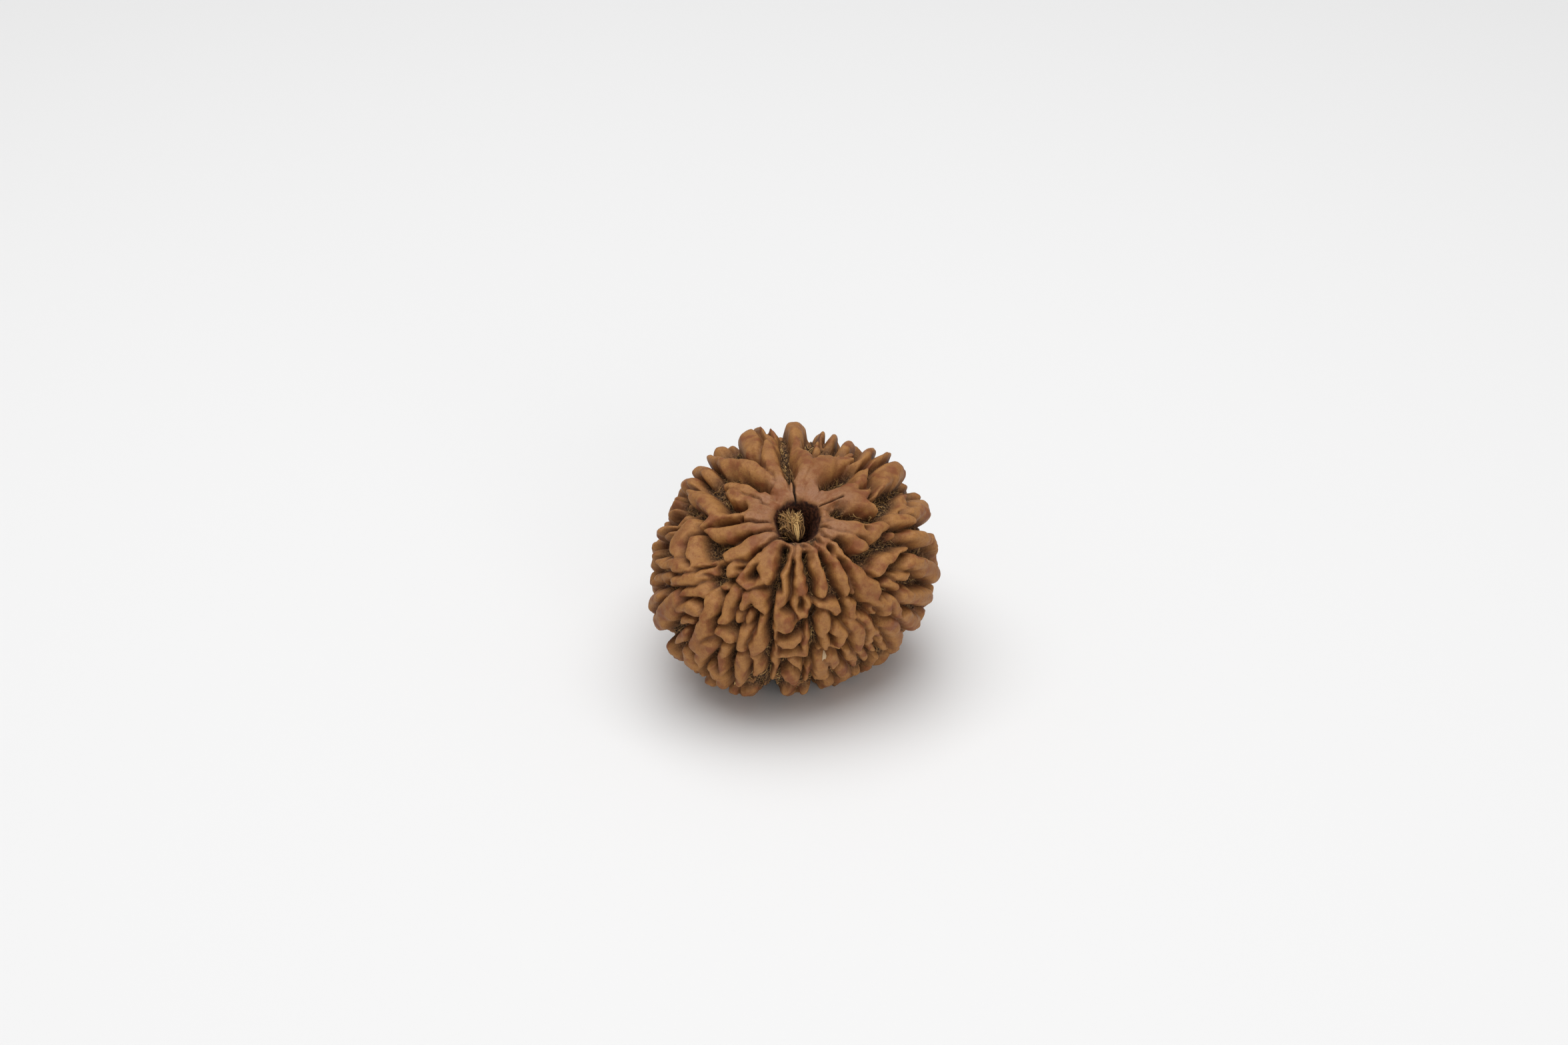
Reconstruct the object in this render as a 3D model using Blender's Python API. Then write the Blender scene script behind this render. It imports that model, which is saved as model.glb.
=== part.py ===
"""A rudraksha seed: one hard, deeply ribbed stone with a tuft of dry fibre in its mouth.

The stone is drawn as a radius for every direction from its centre: a bare body, less the depth
of the furrows, plus ribs and knobs that are set by hand on the upper side and the front, and by
a seeded rule on the rest. Directions are (longitude, colatitude) in degrees about the seed's own
axis, which runs from the mouth at colatitude 0 to the lower end at 180. Lengths in the tables
are in millimetres.
"""
import math
import random

import bmesh
import bpy
import numpy as np
from mathutils import Matrix, Vector

MM = 0.001

# The bare body, in mm
GIRTH = 15.0
TOP_REACH = 10.4
LOW_REACH = 12.2
ROUNDNESS = 2.3
TOP_SLANT = (0.105, -0.16)
LOW_SLANT = (0.09, 0.06)
GIRTH_WAVES = ((1, -0.02, 0.03), (2, 0.0, 0.045), (3, 0.03, -0.024))

# The mouth is a little in front of the axis: (longitude, colatitude), then mm
MOUTH_AT = (-90.0, 8.0)
MOUTH_RADII = (2.15, 2.55)
MOUTH_DEPTH = 4.6
MOUTH_RIM_DEG = 17.0
RIM_NARROWING = 0.45
LOW_PIT_AT = (60.0, 176.0)
LOW_PIT_RADII = (1.1, 1.1)
LOW_PIT_DEPTH = 2.2

# Swellings and hollows of the bare body: the spot that each is centred on, rise and radius in mm.
# The first is the dish round the mouth, and the second is under the seed's weight.
SWELLINGS = (
    (MOUTH_AT, -0.9, 3.4),
    ((-90.0, 168.0), 0.65, 4.0),
    ((66.0, 60.0), -1.0, 3.4),
    ((107.0, 67.0), 0.6, 2.4),
    ((46.0, 65.0), 1.0, 1.7),
)

# How the seed sits: the axis leans toward -Y and a little to +X, and a worn flat meets the table
AXIS_TILT_DEG = 24.0
AXIS_LEAN_DEG = 2.0
CENTRE_HEIGHT = 12.15

# Relief, in mm
FURROW_DEPTH = 2.1
RIB_FOOT = 1.13
RIB_BREADTH = 3.0
RIB_ROUNDING = 0.55
LOW_RISE = 0.62
BROAD_RISE = 0.5
RISE_WIDTHS = (0.3, 1.1)
RIB_MERGING = 7.0
RIB_BLUNTNESS = 2.0
OPEN_GROUND = 0.05
SLOT_SHARPNESS = 4
SEAM_DEPTH = 0.55
SEAM_REACH = 0.5
SEAM_FADE = (0.4, 0.8)
SWAYS = ((0.16, 2.6), (0.08, 1.2))
GROUND_BUMPS = 0.22
GROUND_BUMP_LENGTH = 1.5
GROUND_BUMP_FADE = (0.6, 0.2)
CREST_WAVES = ((0.12, 5.0), (0.06, 1.8))
SWAY_SEEDS = (1, 2, 3)
CREST_SEED = 4
BUMP_SEED = 5
PIT_SEED = 6
PIT_UNEVEN = 0.08
PIT_UNEVEN_LENGTH = 3.0
PIT_STEEPNESS = 20

# Colatitudes between which the furrows reach their full depth, lose some of it and run out
COLLAR_EDGE = (10.0, 36.0)
LOW_SHALLOWING = 0.5
LOW_SHALLOWING_EDGE = (92.0, 118.0)
LOW_COLLAR_EDGE = (166.0, 142.0)

# Bounds of the arithmetic: a share or a distance that is clear of everything, how many half widths
# from a stroke are looked at, and the least slope of the ways that meet the table
CLEAR = 99.0
STROKE_REACH = 2.2
LEAST_DOWN = 0.05

# Detail of the faceted solid
SPHERE_LEVEL = 7
STONE_TRIANGLES = 10500
FLAT_REACH = 0.05
FOLD_LIMIT = 0.06
FOLD_ROUNDS = 12

# Ribs that run out from the collar, going round from the front by the right: each point is
# (longitude, colatitude, half width)
COLLAR_RIBS = (
    ((-87, 28, 0.8), (-87, 36, 1.0), (-87, 43, 1.1), (-86, 46, 0.9)),
    ((-74, 28, 0.8), (-73, 36, 1.0), (-72, 44, 1.0), (-73, 48, 0.8)),
    ((-63, 27, 0.6), (-61, 34, 0.9), (-59, 42, 1.1), (-60, 50, 0.9), (-57, 52, 0.5)),
    ((-54, 27, 0.9), (-51, 36, 1.2), (-46, 42, 1.2), (-49, 50, 1.0), (-47, 57, 1.5), (-46, 62, 0.8)),
    ((-41, 26, 0.9), (-36, 34, 1.2), (-33, 39, 1.0)),
    ((-28, 24, 1.1), (-23, 32, 1.4), (-16, 39, 1.3), (-9, 43, 0.9)),
    ((17, 24, 1.0), (9, 31, 1.3), (4, 38, 1.2), (2, 41, 0.9)),
    ((22, 28, 1.3), (18, 36, 1.3)),
    ((30, 26, 1.2), (31, 35, 1.3), (37, 43, 1.3), (42, 49, 0.9)),
    ((42, 23, 1.0), (41, 29, 1.0), (42, 34, 0.7)),
    ((64, 30, 1.1), (62, 40, 1.4), (59, 50, 1.2), (57, 53, 0.7)),
    ((72, 28, 1.4), (71, 38, 1.6), (69, 45, 1.4)),
    ((80, 28, 1.1), (82, 40, 1.2), (81, 47, 0.8)),
    ((88, 26, 1.2), (87, 40, 1.5), (88, 49, 1.2), (90, 57, 0.9), (91, 66, 1.1), (91, 74, 1.2)),
    ((114, 27, 1.1), (111, 38, 1.3), (109, 48, 1.3), (108, 55, 1.0)),
    ((128, 28, 1.0), (126, 38, 1.4), (130, 48, 1.3), (133, 56, 1.0), (132, 66, 0.8), (130, 76, 0.9)),
    ((150, 28, 1.0), (149, 37, 1.3), (148, 46, 1.1), (149, 53, 0.5)),
    ((168, 28, 1.1), (163, 36, 1.2), (157, 43, 0.9)),
    ((176, 29, 0.8), (170, 35, 0.8)),
    ((-172, 28, 1.0), (-176, 37, 1.2), (-176, 46, 1.2), (-174, 51, 0.8)),
    ((-153, 29, 1.0), (-158, 37, 1.3), (-164, 44, 1.2), (-168, 48, 0.8)),
    ((-133, 29, 1.1), (-137, 37, 1.5), (-141, 44, 1.2)),
    ((-113, 27, 1.1), (-114, 35, 1.5), (-111, 40, 1.3), (-107, 44, 0.8)),
    ((-98, 27, 0.8), (-98, 36, 0.9), (-98.5, 42, 0.75), (-98.5, 49, 0.95), (-99.5, 54, 0.6)),
)

# Lobes and knobs of the front, row by row outward, from left to right in each row
FRONT_KNOBS = (
    ((-123, 36, 0.9), (-126, 42, 0.6), (-124, 48, 0.7), (-119, 49, 0.6), (-112, 45, 0.7)),
    ((-131, 45, 1.0), (-134, 49, 0.7)),
    ((-143, 49, 0.6), (-142, 54, 0.6), (-146, 58, 0.5)),
    ((-132, 55, 0.6), (-129, 54.5, 0.5)),
    ((-124, 54, 0.9), (-123, 60, 0.8), (-122, 66, 0.5)),
    ((-116, 57, 0.5), (-117, 53, 0.8), (-113, 51.5, 1.0), (-107, 52.5, 1.0), (-105.5, 56, 0.6)),
    ((-99.5, 55, 0.6), (-96, 60, 1.25), (-93.5, 61.5, 0.9)),
    ((-99, 62, 0.6), (-98.7, 68, 0.3)),
    ((-90, 47, 0.6), (-90.5, 53, 0.6), (-87.5, 58, 0.6), (-83, 58.5, 0.6), (-82, 54, 0.5), (-84, 49, 0.5)),
    ((-79, 52.5, 0.35), (-73, 54, 0.7), (-67, 57, 0.95)),
    ((-61, 55, 0.7), (-59, 58, 0.8), (-60, 63, 0.75)),
    ((-116.7, 60.5, 0.55), (-116.5, 63.5, 0.6)),
    ((-111.5, 59, 0.5), (-112.5, 63, 0.55)),
    ((-106, 59, 0.5), (-105, 65, 0.6), (-105, 71, 0.95), (-106, 74, 0.7)),
    ((-111, 67, 0.9), (-111.5, 73, 0.9)),
    ((-122, 70, 0.7), (-117, 71, 0.8)),
    ((-133, 59.5, 0.8), (-130, 62, 1.1), (-130, 68, 0.8), (-129, 75, 1.1), (-129, 82, 1.0)),
    ((-124.5, 78, 0.9), (-127, 85, 0.8), (-127, 92, 0.4)),
    ((-134, 68, 0.7), (-139, 70, 0.8), (-142, 73, 0.7)),
    ((-135, 73, 0.5), (-139, 77, 0.6)),
    ((-137, 61, 0.8), (-142, 64, 0.8), (-145.5, 68, 0.6)),
    ((-144, 60, 0.8), (-149, 64, 0.9), (-153, 69, 0.8)),
    ((-151, 60, 0.8), (-157, 64, 1.0), (-163, 69, 0.9), (-167, 74, 0.5)),
    ((-157, 70, 0.7), (-160, 75, 0.7), (-164, 81, 0.3)),
    ((-84, 64, 0.5), (-84, 71, 0.6), (-84.5, 77, 0.55)),
    ((-96, 69, 0.6), (-92.5, 70.5, 0.9), (-88.5, 69, 0.6)),
    ((-96, 77, 0.5), (-91, 77.5, 0.6), (-85, 78, 0.5)),
    ((-76.5, 57.5, 0.7), (-74.5, 62, 0.9), (-76.5, 67, 0.7), (-75.5, 75, 0.55)),
    ((-78, 77, 0.4), (-71, 76, 0.5), (-68, 81, 0.4)),
    ((-70, 67, 1.0), (-67, 70, 1.1), (-69, 74, 0.6)),
    ((-62, 66, 0.7), (-59, 72, 1.0), (-58, 78, 0.9), (-58.5, 85, 0.6)),
    ((-57, 64, 0.7), (-54, 69, 0.8), (-52.5, 74, 0.8), (-53, 84, 0.7)),
    ((-51, 75, 0.6), (-49, 80, 0.7), (-47.5, 85, 0.5)),
    ((-49, 65, 0.4), (-49, 68, 0.5)),
    ((-44, 64, 0.8), (-43, 70, 1.0)),
    ((-40, 66, 0.8), (-37, 71, 1.0), (-38, 77, 0.7)),
    ((-43, 78, 1.0), (-40, 86, 1.2), (-38, 94, 1.0), (-38, 103, 0.7)),
    ((-48, 83, 0.5), (-46, 90, 0.6), (-43, 99, 0.6)),
    ((-119, 77, 0.8), (-118, 84, 0.6), (-118, 92, 0.45)),
    ((-111, 78, 0.7), (-111, 86, 0.9), (-111, 97, 0.7)),
    ((-106.5, 78, 0.6), (-104, 85, 0.6), (-103, 93, 0.5)),
    ((-98, 70, 0.4), (-98, 78, 0.5), (-98.5, 94, 0.45)),
    ((-90, 81, 0.55), (-88, 85, 0.5), (-86.5, 89, 0.35)),
    ((-92, 89, 0.7), (-90, 94, 0.8), (-88, 99, 0.6)),
    ((-83, 87, 0.5), (-82, 94, 0.55), (-83, 100, 0.5)),
    ((-78, 82, 0.9), (-77, 90, 1.0), (-76, 102, 0.8)),
    ((-73, 83, 0.9), (-71, 92, 0.7)),
    ((-65, 82, 0.6), (-62, 90, 0.7), (-60.5, 98, 0.5)),
    ((-59, 88, 0.5), (-56, 94, 0.6), (-54, 99, 0.4)),
    ((-53, 87, 0.4), (-51, 92, 0.5), (-49.5, 97, 0.35)),
    ((-136, 81, 0.7), (-138, 87, 0.6), (-139, 91, 0.35)),
    ((-133, 90, 0.8), (-131, 98, 0.9), (-129, 106, 0.8)),
    ((-122, 91, 0.6), (-119.5, 98, 0.8), (-118, 106, 0.7)),
    ((-67, 95, 0.8), (-65, 103, 0.9), (-62, 112, 0.8)),
)

# Lobes and knobs of the flanks and of the far rim, from the right round the back to the left
RIM_KNOBS = (
    ((-18, 47.5, 0.35), (-10, 51, 0.4)),
    ((-38, 51, 0.6), (-30, 52.5, 0.8), (-21, 55, 0.7), (-14, 57.5, 0.5)),
    ((-38, 58, 0.5), (-32, 63, 0.7)),
    ((-28, 60, 0.7), (-25, 64, 0.6)),
    ((-21, 60, 0.8), (-17, 64, 0.9), (-13, 71, 1.0), (-9, 80, 1.1), (-5, 89, 1.1)),
    ((-33, 68, 0.8), (-29, 74, 1.0), (-23, 79, 1.0), (-18, 87, 1.0), (-12, 96, 0.8)),
    ((-36, 79, 0.8), (-32, 85, 1.1), (-28, 92, 1.1), (-24, 101, 0.8)),
    ((-2, 47, 0.8), (1, 53, 1.0), (3, 58, 0.7)),
    ((-6, 57, 0.7), (-3, 64, 0.9), (-1, 70, 0.6)),
    ((6, 52, 0.4), (14, 58, 0.5), (22, 64, 0.5), (26, 68, 0.4)),
    ((9, 58, 0.9), (13, 65, 1.2), (19, 74, 1.5), (22, 82, 1.2)),
    ((19, 41, 0.9), (26, 50, 1.1), (33, 58, 1.3), (38, 66, 1.3), (41, 74, 1.4)),
    ((45, 56, 0.6), (46, 64, 0.7), (48, 72, 0.9)),
    ((51, 49, 0.6), (50, 55, 0.8), (52, 63, 0.9), (54, 72, 1.1)),
    ((60.5, 57, 0.5), (61, 64, 0.6)),
    ((65.5, 58, 0.3), (65.5, 63, 0.4)),
    ((75, 51, 0.3), (76, 53, 0.35)),
    ((78, 58, 0.5), (78, 65, 0.6)),
    ((105, 59, 0.9), (104, 67, 1.1), (105, 76, 1.2)),
    ((116, 54, 0.8), (114, 64, 1.2), (112, 74, 1.3)),
    ((128, 58, 0.3), (128, 60, 0.3)),
    ((143, 64, 0.8), (139, 75, 1.0)),
    ((177, 46, 1.0), (171, 50, 1.1), (164, 56, 1.1), (158, 62, 1.1), (151, 70, 1.0), (147, 78, 0.9)),
    ((174, 64, 0.5), (176, 67, 0.4)),
    ((166, 72, 0.5), (165, 78, 0.7)),
    ((180, 68, 1.0), (175, 79, 1.1)),
    ((-178, 57, 0.9), (-174, 62, 1.2), (-168, 65, 1.0), (-163, 64, 0.6)),
    ((-147, 52, 0.5), (-152, 57, 0.7), (-160, 57.5, 0.8), (-168, 57, 0.8)),
    ((-146, 72, 1.1), (-148, 80, 1.4), (-150, 88, 1.2), (-153, 97, 0.9)),
    ((-155, 79, 0.7), (-158, 88, 0.9), (-159, 96, 0.7)),
)

# Slots, cracks and pits, each with the depth in mm that it reaches below the bare body
SLOTS = (
    (2.7, ((99, 26, 0.35), (99, 33, 0.55), (98, 45, 0.6), (98, 60, 0.6))),
    (2.5, ((138, 25, 0.4), (137, 34, 0.6), (138, 46, 0.6))),
    (2.7, ((142, 53, 0.8), (149, 60, 0.8))),
    (2.0, ((175, 33, 0.5), (176, 39, 0.5), (168, 43, 0.4), (158, 47, 0.45), (151, 52, 0.4))),
    (2.7, ((48, 27, 0.8), (50, 34, 0.95), (49, 42, 0.9), (49, 47, 0.5))),
    (1.7, ((35, 36, 0.2), (41, 39, 0.3), (46, 44, 0.4))),
    (2.0, ((45, 50, 0.3), (47, 57, 0.3))),
    (1.7, ((12, 39, 0.2), (22, 43, 0.25), (30, 48, 0.25), (36, 51, 0.25))),
    (2.7, ((0, 44, 0.4), (8, 44, 0.5), (15, 48, 0.8), (21, 53, 0.6), (26, 59, 0.5))),
    (2.3, ((-7, 22, 0.3), (-5, 28, 0.55), (-6, 36, 0.6), (-2, 41, 0.4))),
    (0.8, ((-17, 36, 0.25), (-16.5, 37, 0.25))),
    (2.3, ((-44, 30, 0.3), (-43, 38, 0.5), (-40, 44, 0.5), (-26, 46, 0.6), (-14, 49, 0.4))),
    (2.5, ((-37, 55.5, 0.35), (-26, 57, 0.4), (-13, 60, 0.4))),
    (1.5, ((-55, 30, 0.2), (-54, 40, 0.25), (-57, 50, 0.2), (-57, 60, 0.2))),
    (2.0, ((-67, 30, 0.2), (-66, 38, 0.35), (-66, 47, 0.3), (-63, 54, 0.25), (-64, 62, 0.2))),
    (2.4, ((-80, 29, 0.25), (-81, 38, 0.35), (-80, 46, 0.3), (-80.5, 64, 0.25), (-80, 74, 0.3))),
    (1.7, ((-92, 34, 0.2), (-93, 44, 0.25), (-94, 54, 0.35))),
    (2.5, ((-103.5, 28, 0.3), (-103.5, 35, 0.45), (-103, 41, 0.3), (-103, 55, 0.3), (-101, 72, 0.3),
           (-100.5, 92, 0.25))),
    (2.3, ((-120, 44, 0.4), (-119.5, 46, 0.4))),
    (1.5, ((-147, 30, 0.2), (-149, 38, 0.3), (-149, 45, 0.3))),
    (2.4, ((-162, 51, 0.4), (-156, 52, 0.6), (-150, 52, 0.4))),
    (1.6, ((-168, 30, 0.15), (-170, 38, 0.25), (-171, 46, 0.25), (-170, 53, 0.3))),
    (1.4, ((-126, 32, 0.2), (-129, 38, 0.2), (-128, 45, 0.2))),
    (2.2, ((-140, 52, 0.5), (-134, 52, 0.5), (-136, 57, 0.5))),
    (2.3, ((67, 54, 0.5), (76, 50, 0.5), (84, 53, 0.5), (85, 62, 0.4))),
    (2.5, ((125, 54, 0.3), (125.5, 60, 0.5), (124, 68, 0.5))),
    (1.7, ((-86.5, 53, 0.3), (-86.5, 54, 0.3))),
    (2.4, ((-102, 92, 0.4), (-100, 106, 0.6), (-99, 122, 0.8), (-98, 136, 0.5))),
)

# The rule for the hidden side and the underside: segments part at long furrows
SEGMENTS = 14
FIRST_FURROW_LON = -103.5
CHAINS_PER_SEGMENT = 3
HIDDEN_ROWS = (54.0, 130.0)
LOW_ROWS = (130.0, 145.0, 160.0)
HIDDEN_SEED = 14
FURROW_SEED = 15
CLEARANCE_SHARE = 0.62
LONG_FURROW = 2.0
LONG_FURROW_WIDTH = 0.3
LONG_FURROW_SWAY = 1.3
FRONT_FURROW_START = 100.0
BACK_FURROW_START = 62.0

# Knobs of the hidden side, in degrees and mm: where a chain starts, how long a knob and the gap
# after it are, how far it strays and bends, and its half widths
CHAIN_STRAY = 0.8
CHAIN_START = 4.0
KNOB_RUN = (7.0, 15.0)
KNOB_GAP = (3.5, 5.5)
KNOB_SWAY = 2.0
KNOB_BEND = 2.2
KNOB_WIDTH = (0.75, 1.2)
KNOB_END_SHARES = (0.6, 1.0)
LOW_RIB_WIDTHS = (1.2, 1.5, 1.3)
LOW_RIB_SWAY = 3.0

# The fibre tuft, in mm
TUFT_CENTRE = (-0.03, -0.8, 7.35)
TUFT_RADII = (1.08, 1.28, 1.3)
TUFT_FLARE = 0.2
TUFT_UNEVEN = 0.08
TUFT_UNEVEN_LENGTH = 0.9
TUFT_SEED = 8
TUFT_LEVEL = 4

STONE_COLOUR = (0.235, 0.098, 0.044, 1.0)
STONE_ROUGHNESS = 0.6
FIBRE_COLOUR = (0.42, 0.25, 0.10, 1.0)
FIBRE_ROUGHNESS = 0.9


def clear_scene():
    for obj in list(bpy.data.objects):
        bpy.data.objects.remove(obj, do_unlink=True)


def new_collection(name):
    collection = bpy.data.collections.new(name)
    bpy.context.scene.collection.children.link(collection)
    return collection


def plain_material(name, colour, roughness):
    material = bpy.data.materials.new(name)
    material.use_nodes = True
    shader = material.node_tree.nodes["Principled BSDF"]
    shader.inputs["Base Color"].default_value = colour
    shader.inputs["Roughness"].default_value = roughness
    shader.inputs["Metallic"].default_value = 0.0
    material.diffuse_color = colour
    return material


def seed_turn():
    """How the seed's own axis is turned in the world."""
    lean = Matrix.Rotation(math.radians(AXIS_LEAN_DEG), 3, "Y")
    tilt = Matrix.Rotation(math.radians(AXIS_TILT_DEG), 3, "X")
    return lean @ tilt


def directions(longitude, colatitude):
    lon = np.radians(longitude)
    col = np.radians(colatitude)
    return np.stack([np.sin(col) * np.cos(lon), np.sin(col) * np.sin(lon), np.cos(col)], -1)


def fade(value, start, end):
    """0 at start, 1 at end, smooth between; start may be the greater."""
    share = np.clip((value - start) / (end - start), 0.0, 1.0)
    return share * share * (3.0 - 2.0 * share)


def off_line(way, radius, spot):
    """Distance from the line out of the centre through a spot; far off on the other side."""
    along = way @ directions(*spot)
    return np.where(along > 0, radius * np.sqrt(np.clip(1.0 - along * along, 0.0, 1.0)), CLEAR)


def bare_radius(way):
    """Radius of the body without furrows, for unit directions."""
    x, y, z = way[..., 0], way[..., 1], way[..., 2]
    across = np.hypot(x, y)
    lon = np.arctan2(y, x)
    girth = np.full(across.shape, 1.0)
    for count, cosine, sine in GIRTH_WAVES:
        girth = girth + cosine * np.cos(count * lon) + sine * np.sin(count * lon)
    top = TOP_REACH * (1.0 + TOP_SLANT[0] * x + TOP_SLANT[1] * y)
    low = LOW_REACH * (1.0 + LOW_SLANT[0] * x + LOW_SLANT[1] * y)
    reach = np.where(z > 0, top, low)
    curve = (across / (GIRTH * girth)) ** ROUNDNESS + (np.abs(z) / reach) ** ROUNDNESS
    radius = curve ** (-1 / ROUNDNESS)
    rises = [rise * np.exp(-(off_line(way, radius, spot) / size) ** 2) for spot, rise, size in SWELLINGS]
    return radius + sum(rises)


def on_body(longitude, colatitude):
    way = directions(longitude, colatitude)
    return way * bare_radius(way)[..., None]


def ripple(points, wavelength, seed, waves=9):
    """Smooth unevenness between about -1 and 1: a sum of seeded plane waves."""
    rng = np.random.default_rng(seed)
    heading = rng.normal(size=(waves, 3))
    heading /= np.linalg.norm(heading, axis=1, keepdims=True)
    length = wavelength * rng.uniform(0.75, 1.35, waves)
    phase = rng.uniform(0, 2 * math.pi, waves)
    total = np.zeros(len(points))
    for way, step, start in zip(heading, length, phase):
        total += np.sin(points @ way * (2 * math.pi / step) + start)
    return total / math.sqrt(waves)


def stroke_share(points, stroke):
    """The points near a stroke, and their distances as shares of the stroke's half width there."""
    table = np.array(stroke, float)
    spots = on_body(table[:, 0], table[:, 1])
    middle = spots.mean(0)
    reach = np.linalg.norm(spots - middle, axis=1).max() + STROKE_REACH * table[:, 2].max()
    near = np.nonzero(((points - middle) ** 2).sum(1) < reach * reach)[0]
    close = points[near]
    best = np.full(len(near), CLEAR)
    for index in range(len(spots) - 1):
        start, end = spots[index], spots[index + 1]
        run = end - start
        along = np.clip((close - start) @ run / (run @ run), 0.0, 1.0)
        gap = np.linalg.norm(close - start - along[:, None] * run, axis=1)
        if index == len(spots) - 2:
            along = along ** RIB_BLUNTNESS
        elif index == 0:
            along = 1.0 - (1.0 - along) ** RIB_BLUNTNESS
        width = table[index, 2] + along * (table[index + 1, 2] - table[index, 2])
        best = np.minimum(best, gap / width)
    return near, best


def crown(share):
    """Cross section of a rib: broad and round on top, steep at its foot."""
    return np.clip(1.0 - (share / RIB_FOOT) ** RIB_BREADTH, 0.0, 1.0) ** RIB_ROUNDING


def trough(share):
    """Cross section of a slot, with softly rounded lips."""
    return 1.0 / (1.0 + share ** SLOT_SHARPNESS)


def reach_mouth(stroke):
    """Carry a rib on inward from its first point to the rim of the mouth."""
    mouth = directions(*MOUTH_AT)
    start = directions(*stroke[0][:2])
    side = start - mouth * (start @ mouth)
    side /= np.linalg.norm(side)
    turn = math.radians(MOUTH_RIM_DEG)
    rim = mouth * math.cos(turn) + side * math.sin(turn)
    lon = math.degrees(math.atan2(rim[1], rim[0]))
    return ((lon, math.degrees(math.acos(rim[2])), RIM_NARROWING * stroke[0][2]),) + stroke


def knob_chain(rng, lon):
    """A meandering line of knobs along one meridian of the hidden side."""
    strokes = []
    col = HIDDEN_ROWS[0] + rng.uniform(-CHAIN_START, CHAIN_START)
    while col < HIDDEN_ROWS[1]:
        run = rng.uniform(*KNOB_RUN)
        width = rng.uniform(*KNOB_WIDTH)
        place = lon + rng.uniform(-KNOB_SWAY, KNOB_SWAY)
        bend = rng.uniform(-KNOB_BEND, KNOB_BEND)
        strokes.append((
            (place, col, width * rng.uniform(*KNOB_END_SHARES)),
            (place + bend, col + run * 0.5, width),
            (place, col + run, width * rng.uniform(*KNOB_END_SHARES)),
        ))
        col += run + rng.uniform(*KNOB_GAP)
    return strokes


def is_free(stroke, taken):
    """True where a stroke's points keep clear of the strokes set before it."""
    spots = on_body(*np.array(stroke, float)[:, :2].T)
    gaps = [stroke_share(spots, other)[1] for other in taken]
    return np.concatenate(gaps).min(initial=CLEAR) > 1.0 + CLEARANCE_SHARE


def segment_edges():
    step = 360.0 / SEGMENTS
    return [FIRST_FURROW_LON + index * step for index in range(SEGMENTS)]


def hidden_furrows():
    """The long furrows between segments, on the back and under the front."""
    rng = random.Random(FURROW_SEED)
    found = []
    for lon in segment_edges():
        at_front = math.sin(math.radians(lon)) < 0.0
        start = FRONT_FURROW_START if at_front else BACK_FURROW_START
        line = []
        for col in np.linspace(start, LOW_ROWS[1], 8):
            line.append((lon + rng.uniform(-LONG_FURROW_SWAY, LONG_FURROW_SWAY), col, LONG_FURROW_WIDTH))
        found.append((LONG_FURROW, tuple(line)))
    return found


def hidden_knobs(taken):
    """Knobs by a seeded rule, wherever the ribs set by hand leave bare ground."""
    rng = random.Random(HIDDEN_SEED)
    step = 360.0 / SEGMENTS
    chains = []
    for edge in segment_edges():
        for place in range(CHAINS_PER_SEGMENT):
            lon = edge + step * (place + 0.5) / CHAINS_PER_SEGMENT + rng.uniform(-CHAIN_STRAY, CHAIN_STRAY)
            chains += knob_chain(rng, lon)
        lons = [edge + step * 0.5 + rng.uniform(-LOW_RIB_SWAY, LOW_RIB_SWAY) for _ in LOW_ROWS]
        chains.append(tuple(zip(lons, LOW_ROWS, LOW_RIB_WIDTHS)))
    return [stroke for stroke in chains if is_free(stroke, taken)]


def rib_crest(points, ribs):
    """Height of the ribs as a share of the furrow's depth, and the seam where two ribs meet."""
    merged = np.full(len(points), OPEN_GROUND ** RIB_MERGING)
    first = np.full(len(points), CLEAR)
    second = np.full(len(points), CLEAR)
    for stroke in ribs:
        near, share = stroke_share(points, stroke)
        width = max(point[2] for point in stroke)
        height = (LOW_RISE + BROAD_RISE * fade(width, *RISE_WIDTHS)) * crown(share)
        merged[near] += height ** RIB_MERGING
        second[near] = np.minimum(second[near], np.maximum(first[near], share))
        first[near] = np.minimum(first[near], share)
    crest = merged ** (1 / RIB_MERGING)
    seam = np.exp(-((second - first) / SEAM_REACH) ** 2) * fade(first, *SEAM_FADE)
    return crest, seam * np.minimum(crest, 1.0)


def furrow_depth(points, ribs):
    """Depth below the bare body: the open furrow less the ribs, or a slot where that is deeper."""
    way = points / np.linalg.norm(points, axis=1, keepdims=True)
    col = np.degrees(np.arccos(np.clip(way[:, 2], -1, 1)))
    ground = FURROW_DEPTH * fade(col, *COLLAR_EDGE) * fade(col, *LOW_COLLAR_EDGE)
    ground *= 1.0 - LOW_SHALLOWING * fade(col, *LOW_SHALLOWING_EDGE)
    shifted = points.copy()
    for sway, length in SWAYS:
        shifted += sway * np.stack([ripple(points, length, seed) for seed in SWAY_SEEDS], -1)
    crest, seam = rib_crest(shifted, ribs)
    depth = ground * (1.0 - crest) + SEAM_DEPTH * seam * fade(ground, 0.0, 1.0)
    depth += GROUND_BUMPS * ripple(points, GROUND_BUMP_LENGTH, BUMP_SEED) * fade(crest, *GROUND_BUMP_FADE)
    for height, length in CREST_WAVES:
        depth += height * ripple(points, length, CREST_SEED)
    for reach, stroke in SLOTS + tuple(hidden_furrows()):
        near, share = stroke_share(shifted, stroke)
        depth[near] += np.maximum((reach - depth[near]) * trough(share), 0.0)
    return depth


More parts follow.
